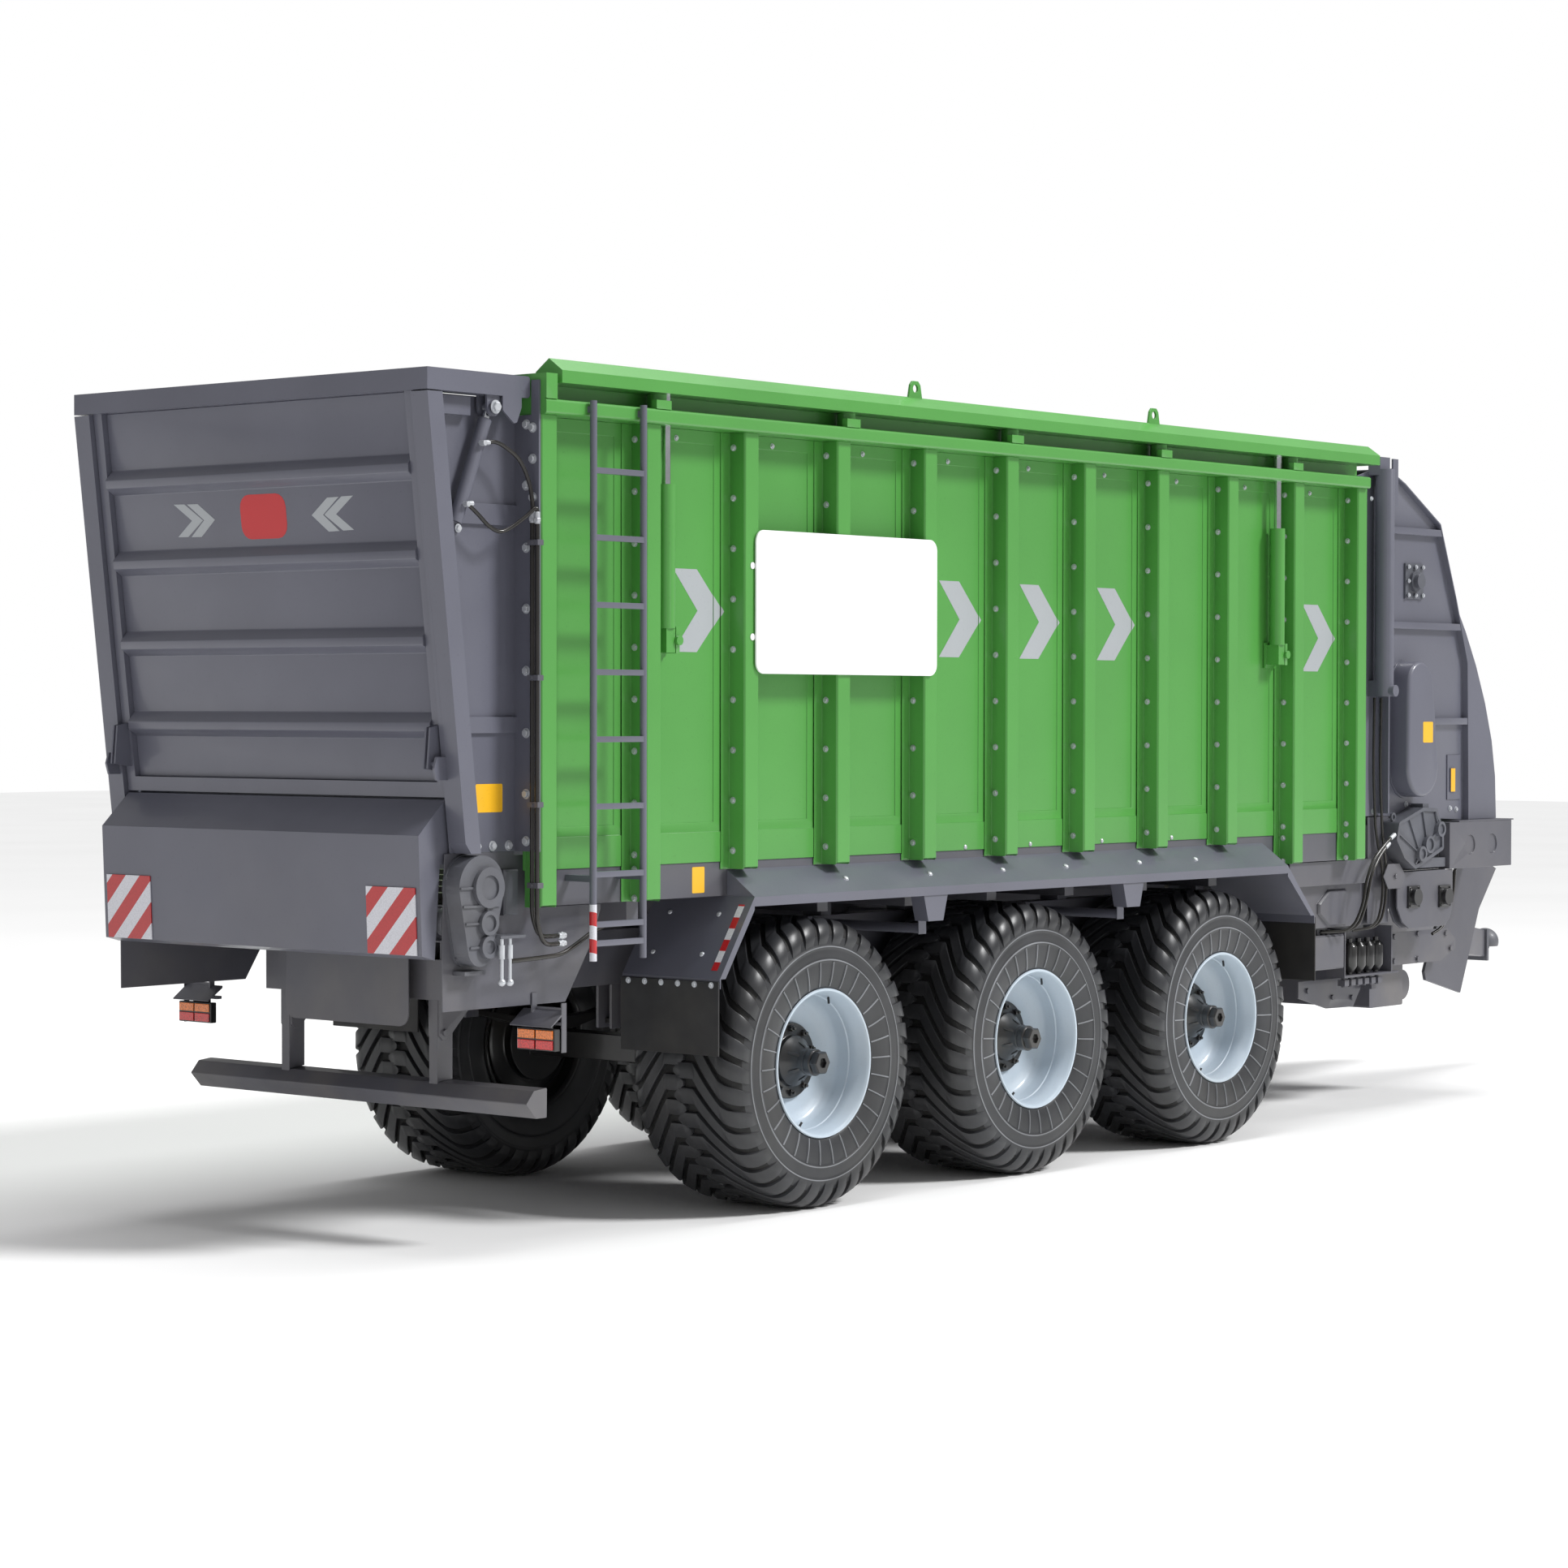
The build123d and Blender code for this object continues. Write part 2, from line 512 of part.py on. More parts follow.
def lower_rear():
    lower_hood()
    y0, y1 = HOUSING_Y
    pieces = []
    plate = prism_y([(-4040, 1744), (-4055, 1371), (-4053, 1067), (-3285, 1067), (-3126, 1303),
                     (-3055, 1469), (-3055, 1494), (-3497, 1494), (-3497, 1729), (-3613, 1729),
                     (-3613, 1744)], y0, y1)
    pieces += both([plate])
    pieces.append(block(-3560, -3550, -600, 600, 1061, 1245))
    centre = block(-3619, -3611, -400, 400, 940, 1250)
    centre = fillet(centre.edges().filter_by(Axis.X).group_by(Axis.Z)[0], 60)
    for side in (-1, 1):
        centre += block(-3611, -3560, side * 250 - 30, side * 250 + 30, 1130, 1200)
    pieces.append(centre)
    for side in (-1, 1):
        post = prism_y([(-3545, 684), (-3536, 694), (-3454, 702), (-3448, 702), (-3448, RAIL_Z[0]),
                        (-3545, RAIL_Z[0])], 458, 510)
        gusset = [(-3540, RAIL_Z[0]), (-3540, 900), (-3520, 880), (-3490, 880), (-3290, RAIL_Z[0])]
        for y in (448, 510):
            post += prism_y(gusset, y, y + 10)
        post += hex_head(-3510, 520, 915, (0, 1, 0), 17, 12)
        pieces.append(sided(post, side))
        bracket = block(-3507, -3476, 1000, 1236, 985, 1000)
        bracket += block(-3507, -3476, 1230, 1236, 866, 1083)
        bracket += block(-3507, -3476, y1, y1 + 8, 1000, 1120)
        bracket += block(-3484, -3476, y1, 1236, 1000, 1060)
        bracket += prism_y([(-3484, 1050), (-3575, 984), (-3575, 978), (-3484, 1038)], 985, 1236)
        pieces.append(sided(bracket, side))
    save("rear_lower_frame", *pieces)
    lamps = both([block(-3545, -3508, 1002, 1228, 873, 970)])
    lamps += both([block(-3508, -3490, 1060, 1170, 900, 985)])
    save("tail_lamps", *lamps)
    bumper = prism_y([(-3454, 701), (-3536, 693), (-3585, 637), (-3523, 570), (-3456, 570)], -1097, 1097)
    save("underrun_bumper", fillet(bumper.edges().filter_by(Axis.Y), 6))
    face = [(-4156.3, 1312), (-4168.6, 1602), (-4174.6, 1602), (-4162.3, 1312)]
    save("warning_panels", *both([prism_y(face, 704, 1004)]))
    rear_gearbox()


def rear_gearbox():
    y0 = HOUSING_Y[1]
    casting = egg_y((-3925, 1335, 75), (-3915, 1600, 137), y0, 1150)
    casting += egg_y((-3925, 1335, 80), (-3915, 1600, 142), y0, 1064)
    casting += block(-3893, -3877, 1150, 1162, 1343, 1599)
    for z, half in ((1599, 128), (1520, 112), (1446, 96), (1343, 70)):
        casting += block(-3920 - half, -3920 + half, 1150, 1158, z - 5, z + 5)
    for z, outer, inner in ((1599, 88, 53), (1446, 53, 36), (1343, 49, 30)):
        casting += rod_y(-3885, z, 1150, 1172, outer)
        casting -= rod_y(-3885, z, 1162, 1173, inner)
    for x, z in ((-4040, 1640), (-3975, 1710), (-3855, 1710), (-3790, 1650), (-3800, 1540), (-4030, 1540),
                 (-4000, 1400), (-3985, 1290), (-3870, 1275), (-3840, 1400)):
        casting += hex_head(x, 1064, z, (0, 1, 0), 11, 9)
    solids = [casting]
    box = block(-3703, -3613, y0, 1080, 1468, 1667)
    solids.append(chamfer(box.edges().group_by(Axis.Y)[-1], 8))
    bracket = block(-3815, -3700, y0, y0 + 8, 1300, 1390)
    bracket += block(-3815, -3700, y0, 1204, 1378, 1390)
    bracket += block(-3855, -3700, 1176, 1204, 1378, 1390)
    solids.append(bracket)
    for x, z in ((-3835, 1190), (-3785, 1188)):
        link = rod_z(x, 1190, z, 1378, 8) + rod_z(x, 1190, 1290, 1350, 13)
        solids.append(link + Pos(x, 1190, z) * Sphere(17))
    solids.append(block(-3990, -3860, y0, 1120, 1222, 1240))
    save("rear_gearbox", *[mirrored(s) for s in solids])


def bearing(x, z):
    ring = rod_y(x, z, 1008, HOUSING_Y[0], 62)
    return ring - rod_y(x, z, 1000, 1050, SHAFT_RADIUS + RUNNING_GAP)


def shafts():
    x, z = FLOOR_SHAFT
    shaft = rod_y(x, z, -SHAFT_END_Y, SHAFT_END_Y, SHAFT_RADIUS)
    for y in (230, 780):
        for side in (-1, 1):
            shaft += rod_y(x, z, side * (y - 14), side * (y + 14), 56)
    save("floor_drive_shaft", shaft)
    for name, (x, z) in ROLLERS.items():
        roller = rod_y(x, z, -SHAFT_END_Y, SHAFT_END_Y, SHAFT_RADIUS) + rod_y(x, z, -990, 990, 85)
        for row in range(5):
            y = -800 + row * 400
            for k in range(3):
                tine = prism_y([(x - 35, z + 70), (x + 35, z + 70), (x + 8, z + 215), (x - 8, z + 215)],
                               y - 6, y + 6)
                roller += tine.rotate(Axis((x, 0, z), (0, 1, 0)), 120 * k + 24 * row)
        save(f"dosing_roller_{name}", roller)
    x, z = FEED_ROTOR
    rotor = rod_y(x, z, -SHAFT_END_Y, SHAFT_END_Y, SHAFT_RADIUS) + rod_y(x, z, -980, 980, 60)
    for row in range(7):
        y = -840 + row * 280
        for k in range(3):
            tine = prism_y([(x - 22, z + 50), (x + 22, z + 50), (x + 6, z + 135), (x - 6, z + 135)],
                           y - 6, y + 6)
            rotor += tine.rotate(Axis((x, 0, z), (0, 1, 0)), 120 * k + 17 * row)
    save("feed_rotor", rotor)
    rings = both([bearing(*place) for place in ROLLERS.values()] + [bearing(*FLOOR_SHAFT)])
    rings += both([bearing(*FEED_ROTOR)])
    x, z = ROLLERS["upper"]
    flange = block(x - 105, x + 105, HOUSING_Y[1], 1062, z - 105, z + 105) + rod_y(x, z, 1062, 1112, 46)
    flange += rod_y(x, z, 1062, 1082, 62)
    for sx, sz in ((-1, -1), (-1, 0), (-1, 1), (0, 1), (1, 1), (1, 0), (1, -1), (0, -1)):
        flange += hex_head(x + sx * 84, 1062, z + sz * 84, (0, 1, 0), 12, 11)
    rings += both([flange])
    for x, z in (INPUT_SHAFT, FEED_ROTOR):
        cap = block(x - 66, x + 66, 1110, 1122, z - 66, z + 66) + rod_y(x, z, 1122, 1150, 50)
        for sx in (-1, 1):
            for sz in (-1, 1):
                cap += hex_head(x + sx * 52, 1122, z + sz * 52, (0, 1, 0), 8, 7)
        rings += both([cap])
    save("shaft_bearings", *rings)


# ---- front unit ---------------------------------------------------------------------------
FRONT_OUTLINE = [(3340, 3700), (3720, 3800), (3949, 3709), (4370, 3485), (4566, 3037), (4711, 2657),
                 (4733, 1700)]


def front_wall():
    y0, y1 = HOUSING_Y
    wall_plate = prism_y(FRONT_OUTLINE + [(3720, 1745), (3340, 1745)], y0, y1)
    for (xa, za), (xb, zb) in zip(FRONT_OUTLINE[1:-1], FRONT_OUTLINE[2:]):
        length = math.hypot(xb - xa, zb - za)
        nx, nz = (zb - za) / length * 8, -(xb - xa) / length * 8
        wall_plate += prism_y([(xa, za), (xb, zb), (xb + nx, zb + nz), (xa + nx, za + nz)], y1, 1088)
    for z, x0, x1 in ((3430, 3730, 4390), (2870, 3730, 4625), (2300, 4230, 4715)):
        wall_plate += block(x0, x1, y1, 1085, z - 20, z + 20)
    wall_plate += block(3712, 3724, y1, 1120, 1760, 3780)
    wall_plate += block(3778, 3837, 1092, 1104, 3563, 3845)
    return wall_plate + block(3800, 3814, y1, 1092, 3563, 3790)


def slot_plate():
    plate = block(4520, 4678, HOUSING_Y[1], 1056, 1826, 2096)
    return plate + block(4548, 4602, 1056, 1064, 1872, 2016)


def front_gearbox():
    y0 = HOUSING_Y[1]
    outline = [(4057, 1789), (4217, 1782), (4298, 1647), (4300, 1534), (3966, 1424), (3840, 1491),
               (3745, 1605), (3775, 1707), (3900, 1744)]
    casting = prism_y(outline, y0, 1160)
    casting = fillet(casting.edges().filter_by(Axis.Y), 24)
    casting -= prism_y([(4060, 1768), (4203, 1761), (4278, 1640), (4280, 1550), (3970, 1448), (3856, 1508),
                        (3772, 1610), (3794, 1692), (3905, 1724)], 1148, 1161)
    for (xa, za), (xb, zb) in (((4057, 1770), (4115, 1567)), ((3900, 1725), (4028, 1514)),
                               ((3780, 1640), (4028, 1514)), ((4250, 1656), (4115, 1567)),
                               ((4250, 1656), (4205, 1755)), ((4115, 1567), (4170, 1512)),
                               ((4028, 1514), (3975, 1452))):
        length = math.hypot(xb - xa, zb - za)
        nx, nz = (zb - za) / length * 5, -(xb - xa) / length * 5
        web = [(xa - nx, za - nz), (xb - nx, zb - nz), (xb + nx, zb + nz), (xa + nx, za + nz)]
        casting += prism_y(web, 1146, 1158)
    for x, z, outer in ((4250, 1656, 46), (4115, 1567, 52), (4028, 1514, 46)):
        casting += rod_y(x, z, 1146, 1176, outer)
        casting -= rod_y(x, z, 1166, 1177, outer - 16)
    casting += block(3990, 4420, y0, 1100, 1425, 1480)
    casting += block(4080, 4150, y0 + 10, 1140, 1770, 1810)
    ring = rod_y(3799, 1737, 1096, 1108, 26) - rod_y(3799, 1737, 1095, 1109, 14)
    save("front_gearbox", mirrored(casting + ring))


def front_unit():
    save("front_unit_walls", *both([front_wall(), pole(), slot_plate()]))
    arc = [(4654, 3040), (4800, 2845), (4930, 2640), (5045, 2410), (5130, 2180), (5175, 1960), (5189, 1700)]
    inner = [(x - 8, z - 3) for x, z in reversed(arc[:-1])]
    cover = prism_y(arc + [(5181, 1700)] + inner, -1020, 1020)
    cover += both_fused(prism_y(arc + [(4660, 1700)], 1012, 1020))
    cover += both_fused(block(4600, 4660, 1020, 1043.5, 1710, 2700))
    cover += block(5176, 5270, -120, 120, 1770, 1778) + block(5240, 5270, -120, 120, 1778, 2030)
    save("front_cover", cover)
    top = [(3735, 3785), (3949, 3695), (4360, 3475), (4360, 3465), (3949, 3685), (3735, 3775)]
    front = [(4362, 3474), (4556, 3037), (4546, 3037), (4362, 3455)]
    screens = []
    for outline in (top, front):
        sheet = prism_y(outline, -1040, 1040)
        screens.append(sheet)
    save("front_screen", *screens)
    y0 = HOUSING_Y[1]
    guard = egg_y((4020, 2032, 180), (3992, 2508, 146), y0, 1180)
    guard = fillet(guard.edges().group_by(Axis.Y)[-1], 22)
    guard -= egg_y((4020, 2032, 170), (3992, 2508, 136), y0 - 1, 1170)
    guard += egg_y((4020, 2032, 190), (3992, 2508, 156), y0, 1058) - \
        egg_y((4020, 2032, 170), (3992, 2508, 136), y0 - 1, 1060)
    save("chain_guard", mirrored(guard))
    front_gearbox()
    beams = []
    for side in (-1, 1):
        beam = block(3600, 5205, 1000, 1043, 1410, 1690) + block(4440, 5205, 1043, 1120, 1410, 1690)
        for x in (4690, 4960):
            beam -= rod_y(x, 1550, 1112, 1121, 60)
        plate = prism_y([(3840, 1410), (3840, 1200), (3900, 1110), (3980, 1070), (4400, 1070),
                         (4470, 1120), (4497, 1200), (4497, 1410)], HOUSING_Y[0], HOUSING_Y[0] + 14)
        cover_plate = prism_y([(3840, 1408), (3840, 1200), (3900, 1110), (3980, 1070), (4400, 1070),
                               (4470, 1120), (4497, 1200), (4497, 1408)], 1098, 1110)
        hexagon = prism_y([(3670, 1390), (3722, 1462), (3850, 1462), (3925, 1390), (3870, 1314),
                           (3725, 1314)], 1110, 1118)
        hexagon += hex_head(3800, 1118, 1388, (0, 1, 0), 16, 12)
        beams += [sided(beam, side), sided(plate, side), sided(cover_plate, side), sided(hexagon, side)]
        beams.append(sided(block(3600, 3839, *HOUSING_Y, 1110, 1738), side))
    beams.append(block(4557, 5233, -1120, 1120, 1690, 1698))
    beams.append(block(3600, 3680, -1000, 1000, 1410, 1500))
    beams.append(block(3940, 4010, -1000, 1000, 1410, 1500))
    beams.append(block(5125, 5205, -1000, 1000, 1410, 1690))
    save("front_platform", *beams)


def both_fused(shape):
    return shape + mirrored(shape)


def accumulators():
    bottles = []
    for i in range(4):
        x = 3567 + 99 * i
        bottle = rod_z(x, -950, 862, 975, 45)
        bottle += Pos(x, -950, 843) * Cone(24, 45, 38)
        bottle += Pos(x, -950, 987) * Cone(45, 27, 24)
        bottle += rod_z(x, -950, 999, 1022, 16) + rod_z(x, -950, 812, 824, 15)
        bottles.append(bottle)
    save("accumulators", *bottles)
    rack = block(3430, 4050, -1000, -880, 800, 812) + block(3430, 4050, -885, -876, 812, 1060)
    rack += block(3430, 3940, -885, -540, 1050, 1060)
    rack += block(3430, 3440, -1000, -880, 812, 1090) + block(3962, 3976, -1000, -880, 812, 1085)
    for i in range(6):
        x = 3500 + 76 * i
        rack += rod_z(x, -950, 740, 800, 13) + block(x - 24, x + 24, -974, -926, 748, 784)
    box = block(3050, 3412, -1010, -800, 860, 1060)
    box = chamfer(box.edges().group_by(Axis.Y)[0], 10)
    box += block(3100, 3300, -800, -540, 1040, 1060)
    for i in range(5):
        box += rod_z(3080 + 55 * i, -960, 1060, 1090, 14)
    save("accumulator_rack", rack, box)


def under_front():
    accumulators()
    pieces = []
    for side in (-1, 1):
        skid = prism_y([(5614, 1366), (5500, 1410), (5140, 1410), (4980, 1230), (4740, 800), (4722, 760),
                        (4740, 706), (5167, 604), (5399, 1120)], 770, 790)
        pieces.append(sided(skid, side))
        plate = prism_y([(4035, 1030), (4035, 833), (4700, 833), (4886, 900), (4886, 960), (4780, 1030)],
                        900, 912)
        for x, z in ((4140, 1005), (4140, 858), (4420, 1012), (4420, 860), (4760, 1000), (4820, 905)):
            plate += hex_head(x, 912, z, (0, 1, 0), 17, 12)
        pieces.append(sided(plate, side))
        hanger = prism_y([(3225, 779), (3225, 684), (3542, 605), (3841, 599), (3934, 715), (4044, 756),
                          (4044, 779)], 800, 812)
        for x, z in ((3320, 722), (3600, 668), (3820, 655)):
            hanger += hex_head(x, 812, z, (0, 1, 0), 16, 12)
        pieces.append(sided(hanger, side))
        pieces.append(sided(block(3945, 4005, 816, 876, 700, RAIL_Z[1] + 80), side))
    tank = block(4050, 4440, -800, 800, 575, 831)
    tank = fillet(tank.edges().filter_by(Axis.Y).group_by(Axis.Z)[0], 14) - block(4058, 4432, -792, 792, 583, 823)
    pieces.append(tank)
    drum = rod_y(4500, 690, -760, 760, 92) - block(4400, 4445, -801, 801, 590, 800)
    pieces.append(drum - rod_y(4500, 690, -752, 752, 84))
    for x, z, y in ((4300, 930, 900), (4820, 860, 770)):
        pieces.append(block(x - 30, x + 30, -y, y, z - 30, z + 30))
    save("lower_front_frame", *pieces)


def drawbar():
    side_view = [(3671, 1330), (3671, 1000), (4500, 960), (6710, 720), (6710, 900), (5300, 1090),
                 (4100, 1100), (3900, 1330)]
    plan = [(3671, 400), (5300, 330), (6710, 110), (6710, -110), (5300, -330), (3671, -400)]
    body = prism_y(side_view, -600, 600) & prism_z(plan, 600, 1400)
    save("drawbar", body)
    x, z = COUPLING
    head = block(6710, 6735, -125, 125, z - 115, z + 95)
    head += prism_y([(6735, z + 70), (6860, z + 45), (6860, z - 40), (6735, z - 90)], -60, 60)
    cup = Pos(x, 0, z) * Sphere(90)
    cup -= Pos(x, 0, z - 30) * Sphere(40)
    cup -= block(x - 100, x + 100, -100, 100, z - 120, z - 30)
    head += cup
    for y in (-95, 95):
        for dz in (-80, 0, 60):
            head += hex_head(6735, y, z + dz, (1, 0, 0), 16, 14)
    save("coupling_head", head)


# ---- hydraulic lines ----------------------------------------------------------------------
def line(points, radius):
    """A pipe along straight runs joined by tangent arcs."""
    corners = [Vector(*p) for p in points]
    radii = []
    for a, b, c in zip(corners, corners[1:], corners[2:]):
        turn = math.radians((b - a).get_angle(c - b))
        radii.append(0.45 * min((b - a).length, (c - b).length) / math.tan(turn / 2))
    path = FilletPolyline(*points, radius=radii)
    start = Plane(origin=points[0], z_dir=path % 0)
    print("  line", round(path.length), "radii", [round(r) for r in radii])
    return sweep(start * Circle(radius), path)


def hydraulic_lines():
    pipes = []
    for y, turn in ((1178, 0), (1208, 34)):
        pipes.append(line([(-3634, y, 3180), (-3634, y, 1470 - turn), (-3590, y - 10, 1392 - turn),
                           (-3540, y - 24, 1372 - turn), (-3440, 1160, 1372 - turn)], 10))
        pipes[-1] += rod((-3440, 1160, 1372 - turn), (-3405, 1160, 1372 - turn), 14)
    pipes.append(line([(-3893, 1142, 3502), (-3790, 1150, 3496), (-3700, 1162, 3440), (-3650, 1172, 3350),
                       (-3634, 1178, 3250), (-3634, 1178, 3190)], 9))
    pipes.append(line([(-3994, 1142, 3237), (-3930, 1146, 3190), (-3820, 1158, 3120), (-3720, 1180, 3160),
                       (-3634, 1200, 3240), (-3634, 1208, 3190)], 9))
    pipes.append(line([(-3758, 1170, 1277), (-3564, 1170, 1282), (-3440, 1170, 1290), (-3340, 1168, 1330),
                       (-3220, 1150, 1378), (-3090, 1110, 1400)], 10))
    pipes.append(line([(3738, 1150, 1636), (3640, 1150, 1590), (3500, 1150, 1500), (3414, 1150, 1371),
                       (3385, 1150, 1240), (3330, 1110, 1085), (3190, 980, 1078)], 9))
    pipes.append(line([(3732, 1118, 1584), (3626, 1120, 1521), (3505, 1130, 1407), (3455, 1130, 1244),
                       (3400, 1100, 1085), (3245, 982, 1078)], 9))
    for x in (3631, 3669):
        y = 1072 + (x - 3631) * 0.6
        pipes.append(line([(x, y, 2440), (x - 10, y, 2000), (x + 20, y, 1640), (x + 70, 1096, 1430), (x + 60, 1097, 1240),
                           (x + 9, 1088, 1095), (x - 115, 1000, 1074)], 8))
    pipes.append(line([(4575, 1078, 1400), (4560, 1078, 1263), (4512, 1078, 1134), (4420, 1076, 1050),
                       (4340, 1060, 1020)], 10))
    save("hydraulic_lines", *[mirrored(p) for p in pipes])


wheels()
axles()
chassis()
floor_parts()
hopper()
for side_label, side_sign in SIDES.items():
    save(f"extension_{side_label}", extension(side_sign))
    cylinder, cylinder_rod = gate_cylinder(side_sign)
    save(f"gate_cylinder_{side_label}", cylinder)
    save(f"gate_rod_{side_label}", cylinder_rod)
fittings()
covers()
save("rear_housing", *both([rear_housing()]))
save("tailgate_frame", *gate_frame())
save("tailgate_panel", gate_panel())
lower_rear()
shafts()
front_unit()
under_front()
drawbar()
hydraulic_lines()
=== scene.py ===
import bpy
import bmesh
import json
import math
from mathutils import Matrix, Vector

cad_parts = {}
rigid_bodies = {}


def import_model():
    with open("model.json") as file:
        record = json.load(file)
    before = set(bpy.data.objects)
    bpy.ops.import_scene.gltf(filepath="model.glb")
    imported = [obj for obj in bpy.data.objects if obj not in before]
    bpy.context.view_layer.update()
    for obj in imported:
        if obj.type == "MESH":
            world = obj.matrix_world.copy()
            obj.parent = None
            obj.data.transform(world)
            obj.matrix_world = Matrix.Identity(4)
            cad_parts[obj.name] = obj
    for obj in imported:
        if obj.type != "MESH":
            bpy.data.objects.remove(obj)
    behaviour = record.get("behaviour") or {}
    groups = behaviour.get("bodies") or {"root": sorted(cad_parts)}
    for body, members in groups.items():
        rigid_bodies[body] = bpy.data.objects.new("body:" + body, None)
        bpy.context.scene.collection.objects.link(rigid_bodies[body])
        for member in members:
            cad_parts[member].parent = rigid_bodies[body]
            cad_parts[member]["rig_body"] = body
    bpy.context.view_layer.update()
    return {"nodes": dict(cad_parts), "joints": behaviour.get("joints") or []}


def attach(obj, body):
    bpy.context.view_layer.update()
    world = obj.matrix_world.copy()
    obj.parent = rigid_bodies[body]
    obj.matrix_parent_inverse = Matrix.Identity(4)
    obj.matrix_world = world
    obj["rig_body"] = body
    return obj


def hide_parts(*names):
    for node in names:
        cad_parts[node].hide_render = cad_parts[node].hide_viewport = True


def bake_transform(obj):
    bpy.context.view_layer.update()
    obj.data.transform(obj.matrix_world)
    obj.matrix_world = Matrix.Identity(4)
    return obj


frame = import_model()

NODES = frame["nodes"]
JOINTS = {joint["name"]: joint for joint in frame["joints"]}
MID = JOINTS["wheel_middle_right_spin"]["pos_m"][0]
TAU = 2 * math.pi
BOTH = (-1, 1)
SIDE_NAME = {-1: "right", 1: "left"}

# Sizes and places are in metres. X runs forward from the middle axle, Y to the left from the
# trailer's middle plane, Z up from the ground; at() moves such a place into the frame.
WALL_Y = 1.100
RIB_FIRST = -3.5475
RIB_STEP = 0.6823
RIB_COUNT = 11
LIFT_X = (-2.740, 2.420)
LIFT_Y = 1.160
LIFT_ROD_R = 0.021
LIFT_ROD_TOP = 3.78
SHAFT_JOINTS = ("roller_upper_spin", "roller_middle_spin", "roller_lower_spin", "feed_rotor_spin",
                "floor_shaft_spin")
BORE_R = 0.03005
BORE_CLEARANCE = 0.0012


def at(x, y, z):
    """A place measured from the middle axle, as a point of the frame."""
    return Vector((MID + x, y, z))


# ---- materials ----------------------------------------------------------------------------
BLACK_STOP, WHITE_STOP = (0, 0, 0, 1), (1, 1, 1, 1)
PALE_DUST = (150, 142, 126)
DARK_DUST = (120, 114, 104)
CASTING_DUST = (128, 118, 100)
DUST_TOP = 2.0


def linear(rgb):
    """Linear colour of a display colour given in 0 to 255."""
    out = []
    for value in rgb:
        v = value / 255
        out.append(v / 12.92 if v <= 0.04045 else ((v + 0.055) / 1.055) ** 2.4)
    return (*out, 1.0)


def shader(name, roughness=0.4, metallic=0.0, coat=0.0):
    """A new material with its node tree and its Principled shader."""
    mat = bpy.data.materials.new(name)
    mat.use_nodes = True
    tree = mat.node_tree
    bsdf = tree.nodes["Principled BSDF"]
    bsdf.inputs["Roughness"].default_value = roughness
    bsdf.inputs["Metallic"].default_value = metallic
    bsdf.inputs["Coat Weight"].default_value = coat
    bsdf.inputs["Coat Roughness"].default_value = 0.12
    return mat, tree, bsdf


def noise(tree, scale, detail=3.0, stretch=(1, 1, 1)):
    """Noise that sticks to the object."""
    coord = tree.nodes.new("ShaderNodeTexCoord")
    mapping = tree.nodes.new("ShaderNodeMapping")
    mapping.inputs["Scale"].default_value = stretch
    tex = tree.nodes.new("ShaderNodeTexNoise")
    tex.inputs["Scale"].default_value = scale
    tex.inputs["Detail"].default_value = detail
    tree.links.new(coord.outputs["Object"], mapping.inputs["Vector"])
    tree.links.new(mapping.outputs["Vector"], tex.inputs["Vector"])
    return tex.outputs["Fac"]


def cells(tree, scale):
    """The distance of a cell pattern that sticks to the object."""
    coord = tree.nodes.new("ShaderNodeTexCoord")
    tex = tree.nodes.new("ShaderNodeTexVoronoi")
    tex.inputs["Scale"].default_value = scale
    tree.links.new(coord.outputs["Object"], tex.inputs["Vector"])
    return tex.outputs["Distance"]


def ramp(tree, source, stops):
    """A colour ramp between stops, each a place and a colour."""
    node = tree.nodes.new("ShaderNodeValToRGB")
    for element, (place, colour) in zip(node.color_ramp.elements, stops):
        element.position = place
        element.color = colour
    tree.links.new(source, node.inputs["Fac"])
    return node.outputs["Color"]


def feed(tree, value, socket):
    """Links a value that is an output, and sets one that is a constant."""
    if isinstance(value, bpy.types.NodeSocket):
        tree.links.new(value, socket)
    else:
        socket.default_value = value


def mix(tree, factor, a, b, mode="MIX"):
    """Two colours mixed."""
    node = tree.nodes.new("ShaderNodeMix")
    node.data_type = "RGBA"
    node.blend_type = mode
    for value, socket in ((factor, node.inputs[0]), (a, node.inputs[6]), (b, node.inputs[7])):
        feed(tree, value, socket)
    return node.outputs[2]


def calc(tree, operation, a, b=0.0):
    """A sum on one or two numbers."""
    node = tree.nodes.new("ShaderNodeMath")
    node.operation = operation
    feed(tree, a, node.inputs[0])
    feed(tree, b, node.inputs[1])
    return node.outputs[0]


def vary_roughness(tree, bsdf, source, low, high):
    """Roughness that follows a noise between two values."""
    span = tree.nodes.new("ShaderNodeMapRange")
    span.inputs["To Min"].default_value = low
    span.inputs["To Max"].default_value = high
    tree.links.new(source, span.inputs["Value"])
    tree.links.new(span.outputs["Result"], bsdf.inputs["Roughness"])


def bump(tree, bsdf, height, strength, distance):
    """Relief from a height; the distance is in metres."""
    node = tree.nodes.new("ShaderNodeBump")
    node.inputs["Strength"].default_value = strength
    node.inputs["Distance"].default_value = distance
    tree.links.new(height, node.inputs["Height"])
    tree.links.new(node.outputs["Normal"], bsdf.inputs["Normal"])


def shade(colour, factor):
    """A lighter or darker colour."""
    return (colour[0] * factor, colour[1] * factor, colour[2] * factor, 1.0)


